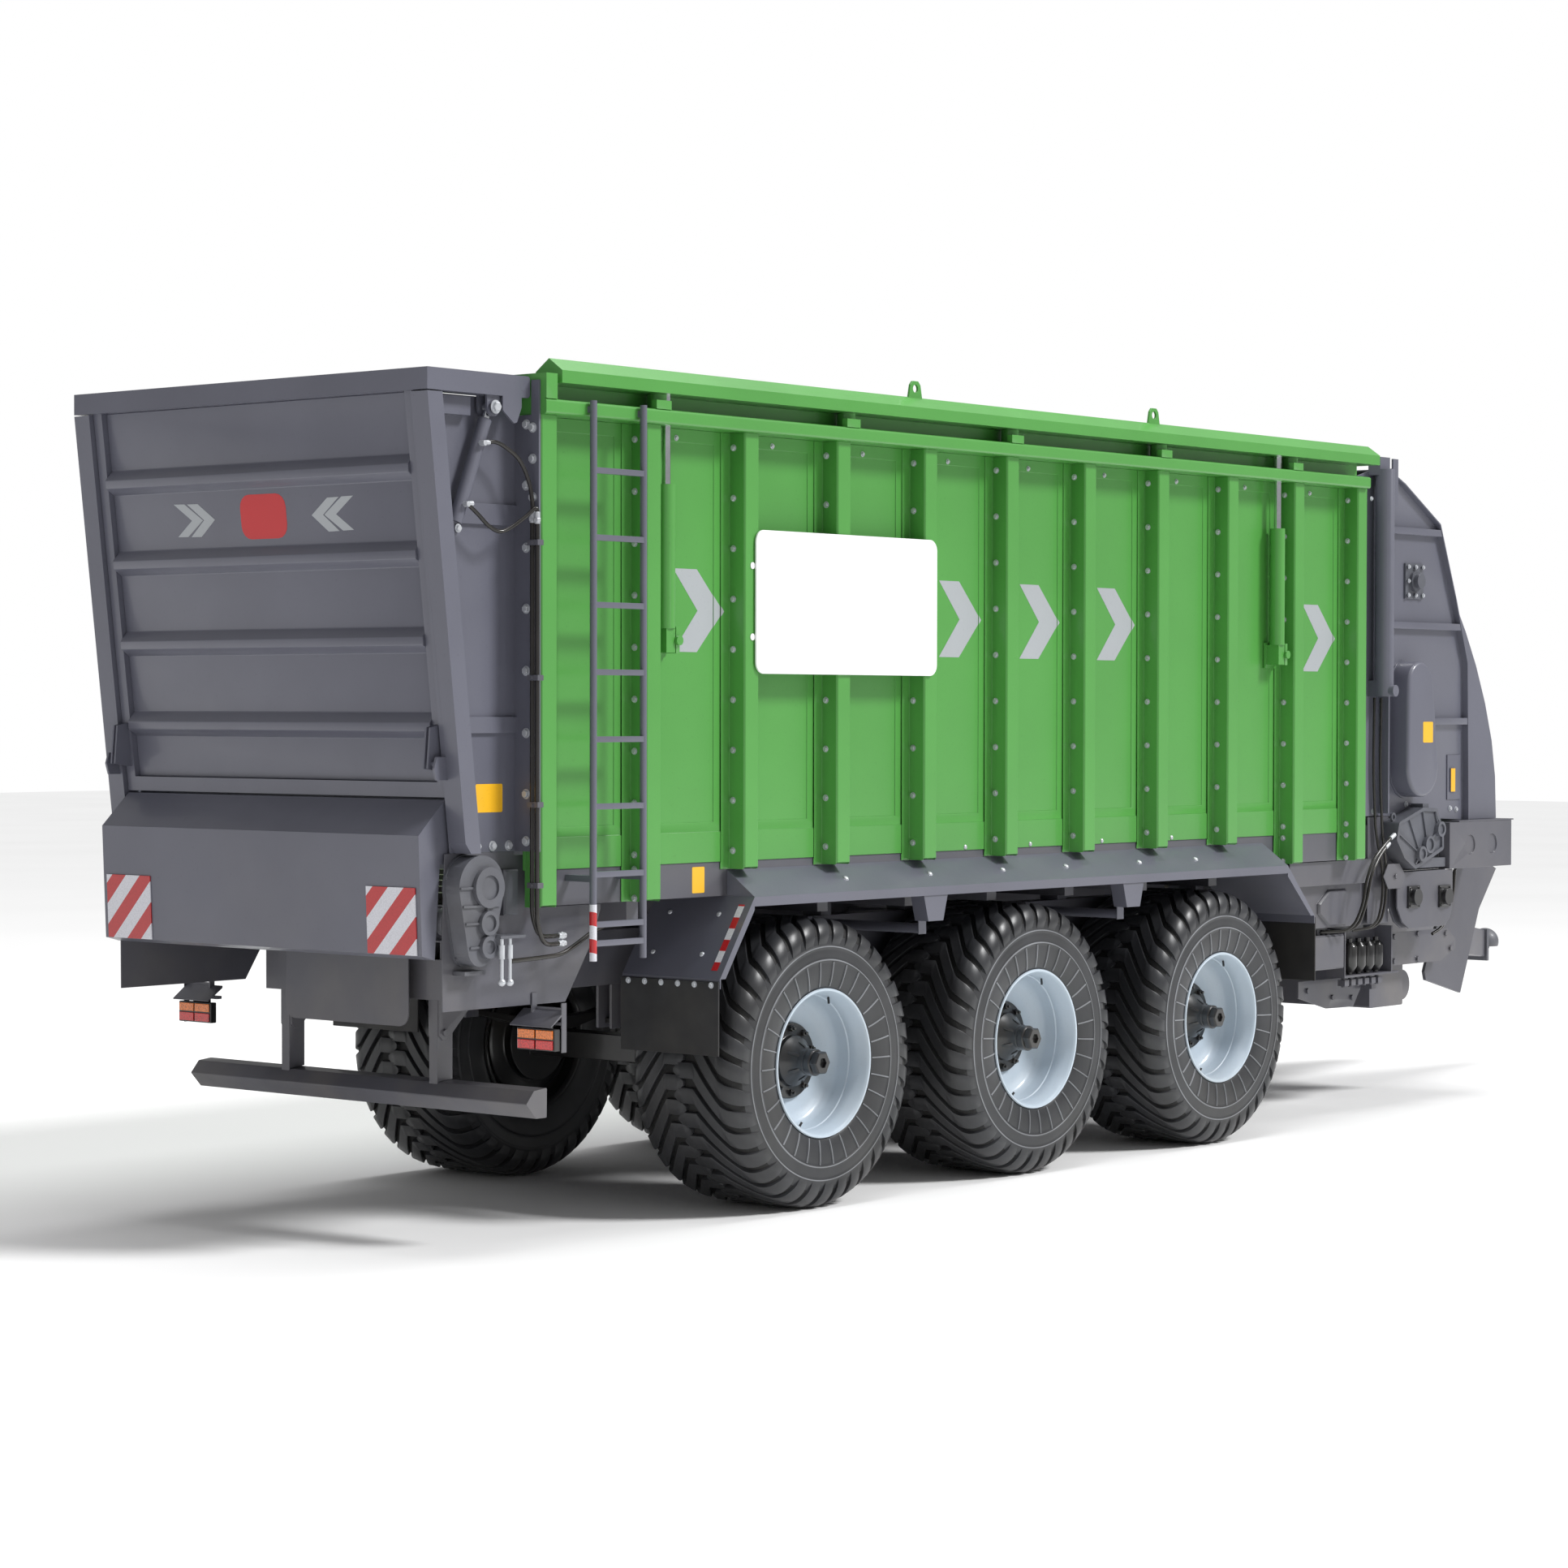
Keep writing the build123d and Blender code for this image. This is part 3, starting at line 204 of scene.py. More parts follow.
def grime(tree, base, dirt, amount):
    """Dust that gathers low on the trailer and in soft patches."""
    geometry = tree.nodes.new("ShaderNodeNewGeometry")
    split = tree.nodes.new("ShaderNodeSeparateXYZ")
    tree.links.new(geometry.outputs["Position"], split.inputs[0])
    height = calc(tree, "MULTIPLY", split.outputs[2], 0.5 / DUST_TOP)
    low = ramp(tree, height, [(0.12, WHITE_STOP), (0.5, BLACK_STOP)])
    patches = ramp(tree, noise(tree, 2.2, 6.0), [(0.42, BLACK_STOP), (0.72, WHITE_STOP)])
    both = calc(tree, "MULTIPLY", calc(tree, "MULTIPLY", low, patches), amount)
    return mix(tree, both, base, dirt)


def painted(name, rgb, roughness=0.32, coat=0.35, peel=0.25, vary=0.10, dirt=0.25):
    """Sprayed paint with orange peel, slow shade changes and a little dust."""
    mat, tree, bsdf = shader(name, roughness, 0.0, coat)
    colour = linear(rgb)
    slow = ramp(tree, noise(tree, 1.4, 4.0), [(0.3, shade(colour, 1 - vary)), (0.7, shade(colour, 1 + vary))])
    specks = ramp(tree, noise(tree, 90, 5.0), [(0.62, WHITE_STOP), (0.78, shade(WHITE_STOP, 0.86))])
    fine = mix(tree, 1.0, slow, specks, "MULTIPLY")
    tree.links.new(grime(tree, fine, linear(PALE_DUST), dirt), bsdf.inputs["Base Color"])
    vary_roughness(tree, bsdf, noise(tree, 6, 5.0), roughness * 0.8, roughness * 1.35)
    bump(tree, bsdf, noise(tree, 260, 2.0), peel, 0.0004)
    return mat


def steel(name, rgb, roughness=0.28, metallic=1.0):
    """Bare or plated metal with a faint grain."""
    mat, tree, bsdf = shader(name, roughness, metallic)
    colour = linear(rgb)
    tone = ramp(tree, noise(tree, 14, 5.0), [(0.3, shade(colour, 0.82)), (0.75, shade(colour, 1.08))])
    tree.links.new(tone, bsdf.inputs["Base Color"])
    vary_roughness(tree, bsdf, noise(tree, 30, 4.0), roughness * 0.7, roughness * 1.5)
    bump(tree, bsdf, noise(tree, 300, 3.0, (1, 1, 6)), 0.15, 0.0003)
    return mat


def rubber(name, rgb, roughness=0.62, grain=0.3, dust=0.22):
    """Moulded rubber, blotchy and dusty low down."""
    mat, tree, bsdf = shader(name, roughness)
    colour = linear(rgb)
    tone = ramp(tree, noise(tree, 5, 6.0), [(0.3, shade(colour, 0.75)), (0.7, shade(colour, 1.25))])
    tree.links.new(grime(tree, tone, linear(DARK_DUST), dust), bsdf.inputs["Base Color"])
    vary_roughness(tree, bsdf, noise(tree, 9, 4.0), roughness * 0.72, roughness * 1.2)
    bump(tree, bsdf, noise(tree, 420, 3.0), grain, 0.0005)
    return mat


def cast(name, rgb):
    """Painted rough casting."""
    mat, tree, bsdf = shader(name, 0.5, 0.0, 0.1)
    colour = linear(rgb)
    tone = ramp(tree, noise(tree, 7, 5.0), [(0.3, shade(colour, 0.8)), (0.7, shade(colour, 1.15))])
    tree.links.new(grime(tree, tone, linear(CASTING_DUST), 0.3), bsdf.inputs["Base Color"])
    bump(tree, bsdf, noise(tree, 120, 6.0), 0.5, 0.001)
    return mat


def banded(name, first, second, pitch, slope=1.0, along=1):
    """Slanted bands of two reflective colours over a fine honeycomb; along is the axis they step on."""
    mat, tree, bsdf = shader(name, 0.3, 0.0, 0.5)
    coord = tree.nodes.new("ShaderNodeTexCoord")
    split = tree.nodes.new("ShaderNodeSeparateXYZ")
    tree.links.new(coord.outputs["Object"], split.inputs[0])
    slant = calc(tree, "ADD", calc(tree, "MULTIPLY", split.outputs[along], slope), split.outputs[2])
    wave = calc(tree, "FRACT", calc(tree, "MULTIPLY", slant, 1 / pitch))
    step = calc(tree, "GREATER_THAN", wave, 0.5)
    colour = mix(tree, step, linear(first), linear(second))
    comb = cells(tree, 160)
    net = ramp(tree, comb, [(0.0, WHITE_STOP), (0.9, shade(WHITE_STOP, 0.8))])
    tree.links.new(mix(tree, 1.0, colour, net, "MULTIPLY"), bsdf.inputs["Base Color"])
    bump(tree, bsdf, comb, 0.12, 0.0003)
    return mat


def lens(name, rgb):
    """A lamp lens with small prisms."""
    mat, tree, bsdf = shader(name, 0.12, 0.0, 0.8)
    colour = linear(rgb)
    prisms = cells(tree, 140)
    tone = ramp(tree, prisms, [(0.0, shade(colour, 1.5)), (0.8, shade(colour, 0.7))])
    tree.links.new(tone, bsdf.inputs["Base Color"])
    bump(tree, bsdf, prisms, 0.3, 0.001)
    return mat


GREEN = painted("green_paint", (80, 152, 68), 0.34, 0.35, vary=0.05, dirt=0.10)
GREY = painted("housing_grey_paint", (97, 98, 110), 0.38, 0.3, vary=0.07, dirt=0.12)
GREY_DARK = painted("chassis_grey_paint", (84, 84, 92), 0.42, 0.25, vary=0.10, dirt=0.25)
CAST = cast("cast_grey_paint", (88, 90, 98))
SILVER = painted("rim_silver_paint", (186, 199, 211), 0.36, 0.3, vary=0.06, dirt=0.18)
BLACK = painted("black_paint", (26, 26, 28), 0.3, 0.4, vary=0.2, dirt=0.1)
WHITE = painted("white_board_paint", (244, 244, 244), 0.35, 0.2, vary=0.01, dirt=0.0)
DECAL = painted("chevron_grey_film", (168, 172, 176), 0.34, 0.3, vary=0.03, dirt=0.1)
RED = painted("red_film", (196, 18, 26), 0.3, 0.4, vary=0.05, dirt=0.0)
YELLOW = painted("yellow_film", (244, 184, 30), 0.35, 0.3, vary=0.05, dirt=0.0)
TYRE = rubber("tyre_rubber", (46, 47, 50), 0.40, 0.35, 0.07)
# Darker rubber for the groove floors: painted shade in the tread's grooves.
TYRE_GROOVE_SHADE = rubber("tyre_groove_painted_shade", (21, 21, 22), 0.75, 0.5, 0.05)
# Pale rubber for the sidewall ribs and rings: a painted highlight on them.
TYRE_RIB_HIGHLIGHT = rubber("tyre_rib_painted_highlight", (122, 124, 128), 0.35, 0.1, 0.0)
RUBBER = rubber("flap_rubber", (34, 34, 36), 0.6, 0.3)
HOSE = rubber("hose_rubber", (38, 36, 34), 0.26, 0.1)
BRIGHT = steel("zinc_steel", (206, 209, 214), 0.34, 0.45)
CHROME = steel("ground_rod_steel", (225, 228, 232), 0.12)
WORN = steel("worn_steel", (120, 116, 110), 0.45)
BAND_RED, BAND_WHITE = (196, 34, 38), (226, 226, 234)
STRIPES = banded("red_white_bands", BAND_RED, BAND_WHITE, 0.19, 1.0)
TAPE = banded("red_white_tape", BAND_RED, BAND_WHITE, 0.12, 0.3, 0)
AMBER = lens("amber_lens", (230, 120, 30))
RED_LENS = lens("red_lens", (206, 30, 30))


# ---- mesh helpers -------------------------------------------------------------------------
BEVEL_SEGMENTS = 2
WELD = 0.00002
FLAT = math.radians(1.0)
SMALLEST = 1e-6


def finish_mesh(bm, name, mats, body, bevel=0.0, angle=32, replaces=()):
    """Turns a bmesh into a shaded piece that rides on a body."""
    bmesh.ops.recalc_face_normals(bm, faces=bm.faces)
    mesh = bpy.data.meshes.new(name)
    bm.to_mesh(mesh)
    bm.free()
    obj = bpy.data.objects.new(name, mesh)
    bpy.context.scene.collection.objects.link(obj)
    for mat in mats if isinstance(mats, (list, tuple)) else [mats]:
        mesh.materials.append(mat)
    for poly in mesh.polygons:
        poly.use_smooth = True
    mesh.set_sharp_from_angle(angle=math.radians(angle))
    if bevel:
        modifier = obj.modifiers.new("edges", "BEVEL")
        modifier.width = bevel
        modifier.segments = BEVEL_SEGMENTS
        modifier.limit_method = "ANGLE"
        modifier.angle_limit = math.radians(angle)
        modifier.harden_normals = True
        modifier.use_clamp_overlap = True
    if body:
        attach(obj, body)
    if replaces:
        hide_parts(*replaces)
    return obj


def add_box(bm, lo, hi):
    """A block between two opposite corners."""
    xs, ys, zs = ((min(a, b), max(a, b)) for a, b in zip(lo, hi))
    v = [bm.verts.new((x, y, z)) for x in xs for y in ys for z in zs]
    quads = [(0, 1, 3, 2), (4, 6, 7, 5), (0, 4, 5, 1), (2, 3, 7, 6), (0, 2, 6, 4), (1, 5, 7, 3)]
    for quad in quads:
        bm.faces.new([v[i] for i in quad])


def add_prism(bm, outline, shift):
    """A plate: an outline of points, moved along a vector for its thickness."""
    low = [bm.verts.new(p) for p in outline]
    high = [bm.verts.new(Vector(p) + Vector(shift)) for p in outline]
    bm.faces.new(low)
    bm.faces.new(list(reversed(high)))
    for i in range(len(low)):
        j = (i + 1) % len(low)
        bm.faces.new((low[i], high[i], high[j], low[j]))


def basis(axis):
    """An axis of length 1 and two directions across it."""
    axis = Vector(axis).normalized()
    side = axis.orthogonal().normalized()
    return axis, side, axis.cross(side)


def add_turned(bm, centre, axis, profile, segments=32, mat=0, phase=0.0):
    """A solid of revolution from (along, radius) points. A radius of 0 closes it at a point."""
    axis, u, v = basis(axis)
    centre = Vector(centre)
    rings = []
    for along, radius in profile:
        if radius < SMALLEST:
            rings.append([bm.verts.new(centre + axis * along)])
            continue
        ring = []
        for i in range(segments):
            a = phase + TAU * i / segments
            ring.append(bm.verts.new(centre + axis * along + (u * math.cos(a) + v * math.sin(a)) * radius))
        rings.append(ring)
    for low, high in zip(rings, rings[1:]):
        for i in range(segments):
            j = (i + 1) % segments
            if len(low) == 1 and len(high) == 1:
                continue
            if len(low) == 1:
                face = bm.faces.new((low[0], high[j], high[i]))
            elif len(high) == 1:
                face = bm.faces.new((low[i], low[j], high[0]))
            else:
                face = bm.faces.new((low[i], low[j], high[j], high[i]))
            face.material_index = mat


def add_rod(bm, start, end, radius, segments=24, mat=0):
    """A capped bar with slightly broken edges."""
    start, end = Vector(start), Vector(end)
    length = (end - start).length
    e = min(radius * 0.15, length * 0.3)
    profile = [(0, 0), (0, radius - e), (e, radius), (length - e, radius), (length, radius - e), (length, 0)]
    add_turned(bm, start, end - start, profile, segments, mat)


def add_bolt(bm, place, axis, size=0.011):
    """A hexagon head with a chamfered crown on a washer."""
    washer = size * 0.18
    add_turned(bm, place, axis, [(0, 0), (0, size * 1.35), (washer, size * 1.35), (washer, 0)], 20)
    head = [(washer, 0), (washer, size), (size * 0.75, size), (size * 0.92, size * 0.84), (size * 0.92, 0)]
    add_turned(bm, place, axis, head, 6, phase=0.3)


def add_dome(bm, place, axis, size):
    """A round-headed bolt."""
    crown = [(size * 0.6 * math.sin(a), size * math.cos(a)) for a in (0.3, 0.7, 1.1, 1.4)]
    add_turned(bm, place, axis, [(0, 0), (0, size), *crown, (size * 0.6, 0)], 14)


def islands(bm):
    """The separate solids of a mesh, each as its faces and its middle."""
    left = set(bm.faces)
    out = []
    for first in bm.faces:
        if first not in left:
            continue
        left.remove(first)
        stack = [first]
        group = []
        while stack:
            face = stack.pop()
            group.append(face)
            for edge in face.edges:
                for other in edge.link_faces:
                    if other in left:
                        left.remove(other)
                        stack.append(other)
        points = [v.co for face in group for v in face.verts]
        low = Vector((min(p[i] for p in points) for i in range(3)))
        high = Vector((max(p[i] for p in points) for i in range(3)))
        out.append((group, (low + high) / 2))
    return out


def node_mesh(name):
    """A welded copy of a CAD node's mesh."""
    bm = bmesh.new()
    bm.from_mesh(NODES[name].data)
    bmesh.ops.remove_doubles(bm, verts=bm.verts, dist=WELD)
    return bm


def widen_bores(bm):
    """Leaves a turning shaft room in the facets of its bearing."""
    for joint in SHAFT_JOINTS:
        centre = Vector(JOINTS[joint]["pos_m"])
        for v in bm.verts:
            away = Vector((v.co.x - centre.x, 0, v.co.z - centre.z))
            if abs(away.length - BORE_R) < BORE_CLEARANCE / 2:
                v.co += away.normalized() * BORE_CLEARANCE


def mark_lift_rods(bm):
    """Gives the lift rods of a raised edge the second material."""
    for face in bm.faces:
        middle = face.calc_center_median()
        for x in LIFT_X:
            gap = math.hypot(middle.x - MID - x, abs(middle.y) - LIFT_Y)
            if gap < LIFT_ROD_R and middle.z < LIFT_ROD_TOP:
                face.material_index = 1


def refine(name, mat, bevel, picks=(), drop=None):
    """A bevelled twin of a CAD node, which it replaces. Picks give single solids another material."""
    bm = node_mesh(name)
    bmesh.ops.dissolve_limit(bm, angle_limit=FLAT, verts=bm.verts, edges=bm.edges)
    if picks or drop:
        gone = []
        for group, middle in islands(bm):
            spot = middle - Vector((MID, 0, 0))
            if drop and drop(spot):
                gone += group
            for index, (_, test) in enumerate(picks):
                if test(spot):
                    for face in group:
                        face.material_index = index + 1
        bmesh.ops.delete(bm, geom=gone, context="FACES")
    mats = [mat, *(extra for extra, _ in picks)]
    if name == "shaft_bearings":
        widen_bores(bm)
    if name.startswith("extension_"):
        mats.append(CHROME)
        mark_lift_rods(bm)
    return finish_mesh(bm, "v_" + name, mats, NODES[name]["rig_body"], bevel, 30, [name])


def hose_mesh(points, radius):
    """A hose on one smooth line through its given points."""
    line = spline_points(points, 10)
    sides = 14
    bm = bmesh.new()
    run = (line[1] - line[0]).normalized()
    side = run.orthogonal().normalized()
    rings = []
    for i, spot in enumerate(line):
        ahead = (line[min(i + 1, len(line) - 1)] - line[max(i - 1, 0)]).normalized()
        side = (side - ahead * side.dot(ahead)).normalized()
        other = ahead.cross(side)
        rings.append([bm.verts.new(spot + (side * math.cos(a) + other * math.sin(a)) * radius)
                      for a in (TAU * k / sides for k in range(sides))])
    for low, high in zip(rings, rings[1:]):
        for k in range(sides):
            j = (k + 1) % sides
            bm.faces.new((low[k], low[j], high[j], high[k]))
    bm.faces.new(rings[0])
    bm.faces.new(list(reversed(rings[-1])))
    return bm


# ---- camera, floor and light --------------------------------------------------------------
LENS_MM = 84.74
YAW, PITCH, ROLL = 39.6493, 1.1638, 0.1073
CAMERA_PLACE = (-15.2523, -12.2240, 2.3667)
FLOOR_SIZE = 70
AMBIENT = 0.36


def camera():
    """The camera at the photograph's place: its angles turn left, down and anticlockwise."""
    data = bpy.data.cameras.new("camera")
    data.sensor_width = 36
    data.lens = LENS_MM
    data.clip_end = 200
    obj = bpy.data.objects.new("camera", data)
    yaw, pitch, roll = (math.radians(a) for a in (YAW, PITCH, ROLL))
    ahead = Vector((math.cos(yaw) * math.cos(pitch), math.sin(yaw) * math.cos(pitch), -math.sin(pitch)))
    level = Vector((math.sin(yaw), -math.cos(yaw), 0))
    top = level.cross(ahead)
    right = level * math.cos(roll) + top * math.sin(roll)
    up = top * math.cos(roll) - level * math.sin(roll)
    turn = Matrix((right, up, -ahead)).transposed().to_4x4()
    turn.translation = at(*CAMERA_PLACE)
    obj.matrix_world = turn
    bpy.context.scene.collection.objects.link(obj)
    bpy.context.scene.camera = obj


def add_light(name, kind, place, power):
    """A light at a place, aimed at the trailer's middle on the ground."""
    data = bpy.data.lights.new(name, kind)
    data.energy = power
    obj = bpy.data.objects.new(name, data)
    obj.location = place
    obj.rotation_euler = (Vector() - Vector(place)).to_track_quat("-Z", "Y").to_euler()
    bpy.context.scene.collection.objects.link(obj)
    return data


def studio():
    """A pale paper floor, even light from all round, a wide light above and a soft sun."""
    bm = bmesh.new()
    bmesh.ops.create_grid(bm, x_segments=2, y_segments=2, size=FLOOR_SIZE)
    mesh = bpy.data.meshes.new("floor")
    bm.to_mesh(mesh)
    bm.free()
    floor = bpy.data.objects.new("floor", mesh)
    bpy.context.scene.collection.objects.link(floor)
    mat, tree, bsdf = shader("floor_paper", 0.9)
    pale = ramp(tree, noise(tree, 0.3, 2.0), [(0.3, shade(WHITE_STOP, 0.93)), (0.7, shade(WHITE_STOP, 0.96))])
    tree.links.new(pale, bsdf.inputs["Base Color"])
    mesh.materials.append(mat)
    world = bpy.data.worlds.new("studio")
    bpy.context.scene.world = world
    world.use_nodes = True
    tree = world.node_tree
    background = tree.nodes["Background"]
    background.inputs["Color"].default_value = WHITE_STOP
    rays = tree.nodes.new("ShaderNodeLightPath")
    strength = tree.nodes.new("ShaderNodeMapRange")
    strength.inputs["To Min"].default_value = AMBIENT
    strength.inputs["To Max"].default_value = 1.0
    tree.links.new(rays.outputs["Is Camera Ray"], strength.inputs["Value"])
    tree.links.new(strength.outputs["Result"], background.inputs["Strength"])
    add_light("key", "SUN", (9, -15, 16), 2.75).angle = math.radians(14)
    top = add_light("top", "AREA", (0, 0, 16), 1900)
    top.shape = "RECTANGLE"
    top.size, top.size_y = 14, 8
    bpy.context.scene.view_settings.view_transform = "Standard"


# ---- wheels -------------------------------------------------------------------------------
# A wheel is drawn about its own axle centre. A section's points are (outward, radius), and an
# outline that is turned about the axle has (distance from the trailer's middle, radius).
TYRE_Y = 0.9425
TREAD_R = 0.672
HALF_PROFILE = [(0.0, 0.672), (0.10, 0.672), (0.18, 0.671), (0.245, 0.666), (0.284, 0.652), (0.306, 0.625),
                (0.318, 0.590), (0.3255, 0.550), (0.3275, 0.500), (0.326, 0.450), (0.320, 0.400),
                (0.312, 0.368), (0.304, 0.352)]
SIDEWALL_X = 0.3
LUGS = 36
LUG_HEIGHT = 0.0203
SHOULDER_R = 0.556
GROOVE_X, GROOVE_R = 0.315, 0.56
RING_RADII = (0.552, 0.488)
RING_WIDTHS = (0.006, 0.005)
RING_HEIGHT = 0.0038
SIDEWALL_RIBS = 30
RIB_RADII = (0.366, 0.484)
RIB_SECTION = [(-0.0042, -0.001), (-0.0022, 0.0048), (0.0022, 0.0048), (0.0042, -0.001)]


def spline_points(points, steps):
    """Points along a smooth line through the given ones."""
    out = []
    ends = [points[0], *points, points[-1]]
    for i in range(len(points) - 1):
        p0, p1, p2, p3 = (Vector(p) for p in ends[i:i + 4])
        for k in range(steps):
            t = k / steps
            a = 2 * p1 + (p2 - p0) * t
            b = (2 * p0 - 5 * p1 + 4 * p2 - p3) * t * t + (3 * p1 - p0 - 3 * p2 + p3) * t ** 3
            out.append((a + b) / 2)
    return out + [Vector(points[-1])]


def tyre_lines():
    """Arc length, place and outward normal along half of the tyre's section."""
    dense = spline_points(HALF_PROFILE, 8)
    length = 0.0
    out = []
    for i, p in enumerate(dense):
        if i:
            length += (p - dense[i - 1]).length
        a, b = dense[max(i - 1, 0)], dense[min(i + 1, len(dense) - 1)]
        run = (b - a).normalized()
        out.append((length, p, Vector((-run.y, run.x))))
    return out


def on_line(lines, s):
    """Place and normal at an arc length, which is negative past the middle of the tread."""
    if s < 0:
        place, normal = on_line(lines, -s)
        return Vector((-place.x, place.y)), Vector((-normal.x, normal.y))
    for (s0, p0, n0), (s1, p1, n1) in zip(lines, lines[1:]):
        if s <= s1:
            t = (s - s0) / max(s1 - s0, 1e-9)
            return p0.lerp(p1, t), n0.lerp(n1, t).normalized()
    return lines[-1][1], lines[-1][2]


def smooth_step(t):
    """Goes from 0 to 1 with level ends."""
    t = min(max(t, 0.0), 1.0)
    return t * t * (3 - 2 * t)


def tyre_point(side, section, angle, lift=0.0, normal=Vector((0, 0))):
    """A point of the tyre from its place on the section and its angle about the axle."""
    spot = section + normal * lift
    return Vector((spot.y * math.cos(angle), side * (TYRE_Y + spot.x), spot.y * math.sin(angle)))


def add_strip(bm, rows, mat=0):
    """A closed-ended bar from rows of points that stand on the tyre."""
    for low, high in zip(rows, rows[1:]):
        for i in range(len(low) - 1):
            bm.faces.new((low[i], low[i + 1], high[i + 1], high[i])).material_index = mat
    bm.faces.new(rows[0])
    bm.faces.new(list(reversed(rows[-1])))


def add_carcass(bm, lines, side):
    """The tyre's body, with two raised rings on the outer sidewall. The groove floors are darker as painted
    shade, and the rings are pale as a painted highlight.
    """
    profile = []
    for _, p, n in lines:
        ring = sum(math.exp(-((p.y - r) / w) ** 2) for r, w in zip(RING_RADII, RING_WIDTHS)) * RING_HEIGHT
        profile.append(p + n * (ring if p.x > SIDEWALL_X else 0.0))
    full = [Vector((-p.x, p.y)) for p in reversed(profile)] + profile[1:]
    inner = [Vector((x, r)) for x, r in ((0.296, 0.340), (0.285, 0.420), (0.28, 0.60), (0.2, 0.648))]
    loop = full + inner + [Vector((-p.x, p.y)) for p in reversed(inner)]
    segments = 144
    rings = [[bm.verts.new(tyre_point(side, p, TAU * k / segments)) for p in loop] for k in range(segments)]
    for k in range(segments):
        ring, after = rings[k], rings[(k + 1) % segments]
        for i in range(len(loop)):
            j = (i + 1) % len(loop)
            face = bm.faces.new((ring[i], ring[j], after[j], after[i]))
            middle = (loop[i] + loop[j]) / 2
            # Groove floors between the lugs take the darker rubber as painted shade.
            if max(abs(loop[i].x), abs(loop[j].x)) < GROOVE_X and min(loop[i].y, loop[j].y) > GROOVE_R:
                face.material_index = 1
            # The raised rings take the pale rubber as a painted highlight.
            if middle.x > SIDEWALL_X and min(abs(middle.y - r) for r in RING_RADII) < 0.0035:
                face.material_index = 2


def lug_size(s, end):
    """Width and height of a lug at an arc length from the middle of the tread.

    It starts narrow in the other half's lugs, widens a little off the middle, and tapers and sinks
    down the shoulder to its end."""
    width = 0.078 if s > -0.001 else 0.018
    width += 0.006 * smooth_step((s - 0.08) / 0.05) - 0.022 * smooth_step((s - 0.30) / (end - 0.30))
    height = LUG_HEIGHT - 0.007 * smooth_step((s - 0.25) / 0.07)
    return width, height * max(1 - smooth_step((s - 0.86 * end) / (0.14 * end)), 0.05)


def add_lugs(bm, lines, side):
    """Lugs that run straight at the middle of the tread and sweep back over the shoulder."""
    pitch = TAU / LUGS
    end = next(s for s, p, _ in lines if p.y < SHOULDER_R)
    stations = [(-0.030, 0.0), (0.0, 0.0), (0.085, 0.0), (0.150, 0.085), (0.235, 0.195), (0.262, 0.212),
                (0.300, 0.232), (end * 0.94, 0.262), (end, 0.270)]
    fine = []
    for (s0, d0), (s1, d1) in zip(stations, stations[1:]):
        count = 1 if s1 <= 0.0 else 4
        fine += [(s0 + (s1 - s0) * k / count, d0 + (d1 - d0) * k / count) for k in range(count)]
    fine.append(stations[-1])
    outline = [(-0.5, None), (-0.47, 0.90), (-0.43, 1.0), (0.43, 1.0), (0.47, 0.90), (0.5, None)]
    for half in BOTH:
        for lug in range(LUGS):
            base = lug * pitch + (pitch / 2 if half < 0 else 0)
            rows = []
            for s, drift in fine:
                section, normal = on_line(lines, s)
                spot, out = Vector((half * section.x, section.y)), Vector((half * normal.x, normal.y))
                angle = base + drift / TREAD_R
                width, height = lug_size(s, end)
                rows.append([bm.verts.new(tyre_point(side, spot, angle + across * width / section.y,
                                                     -0.004 if lift is None else height * lift, out))
                             for across, lift in outline])
            add_strip(bm, rows)


def add_sidewall_ribs(bm, lines, side):
    """Fine radial ribs between the rim and the inner ring, in pale rubber as a painted highlight."""
    low, high = RIB_RADII
    outer = [line for line in lines if line[1].x >= SIDEWALL_X]
    for rib in range(SIDEWALL_RIBS):
        angle = TAU * rib / SIDEWALL_RIBS
        rows = []
        for k in range(9):
            radius = low + (high - low) * k / 8
            _, p, n = min(outer, key=lambda line: abs(line[1].y - radius))
            rows.append([bm.verts.new(tyre_point(side, p, angle + w / p.y, lift, n))
                         for w, lift in RIB_SECTION])
        # The ribs take the pale rubber as a painted highlight.
        add_strip(bm, rows, 2)


def tyre_mesh(side):
    """A flotation tyre with swept shoulder lugs."""
    bm = bmesh.new()
    lines = tyre_lines()
    add_carcass(bm, lines, side)
    add_lugs(bm, lines, side)
    add_sidewall_ribs(bm, lines, side)
    bmesh.ops.recalc_face_normals(bm, faces=bm.faces)
    return bm


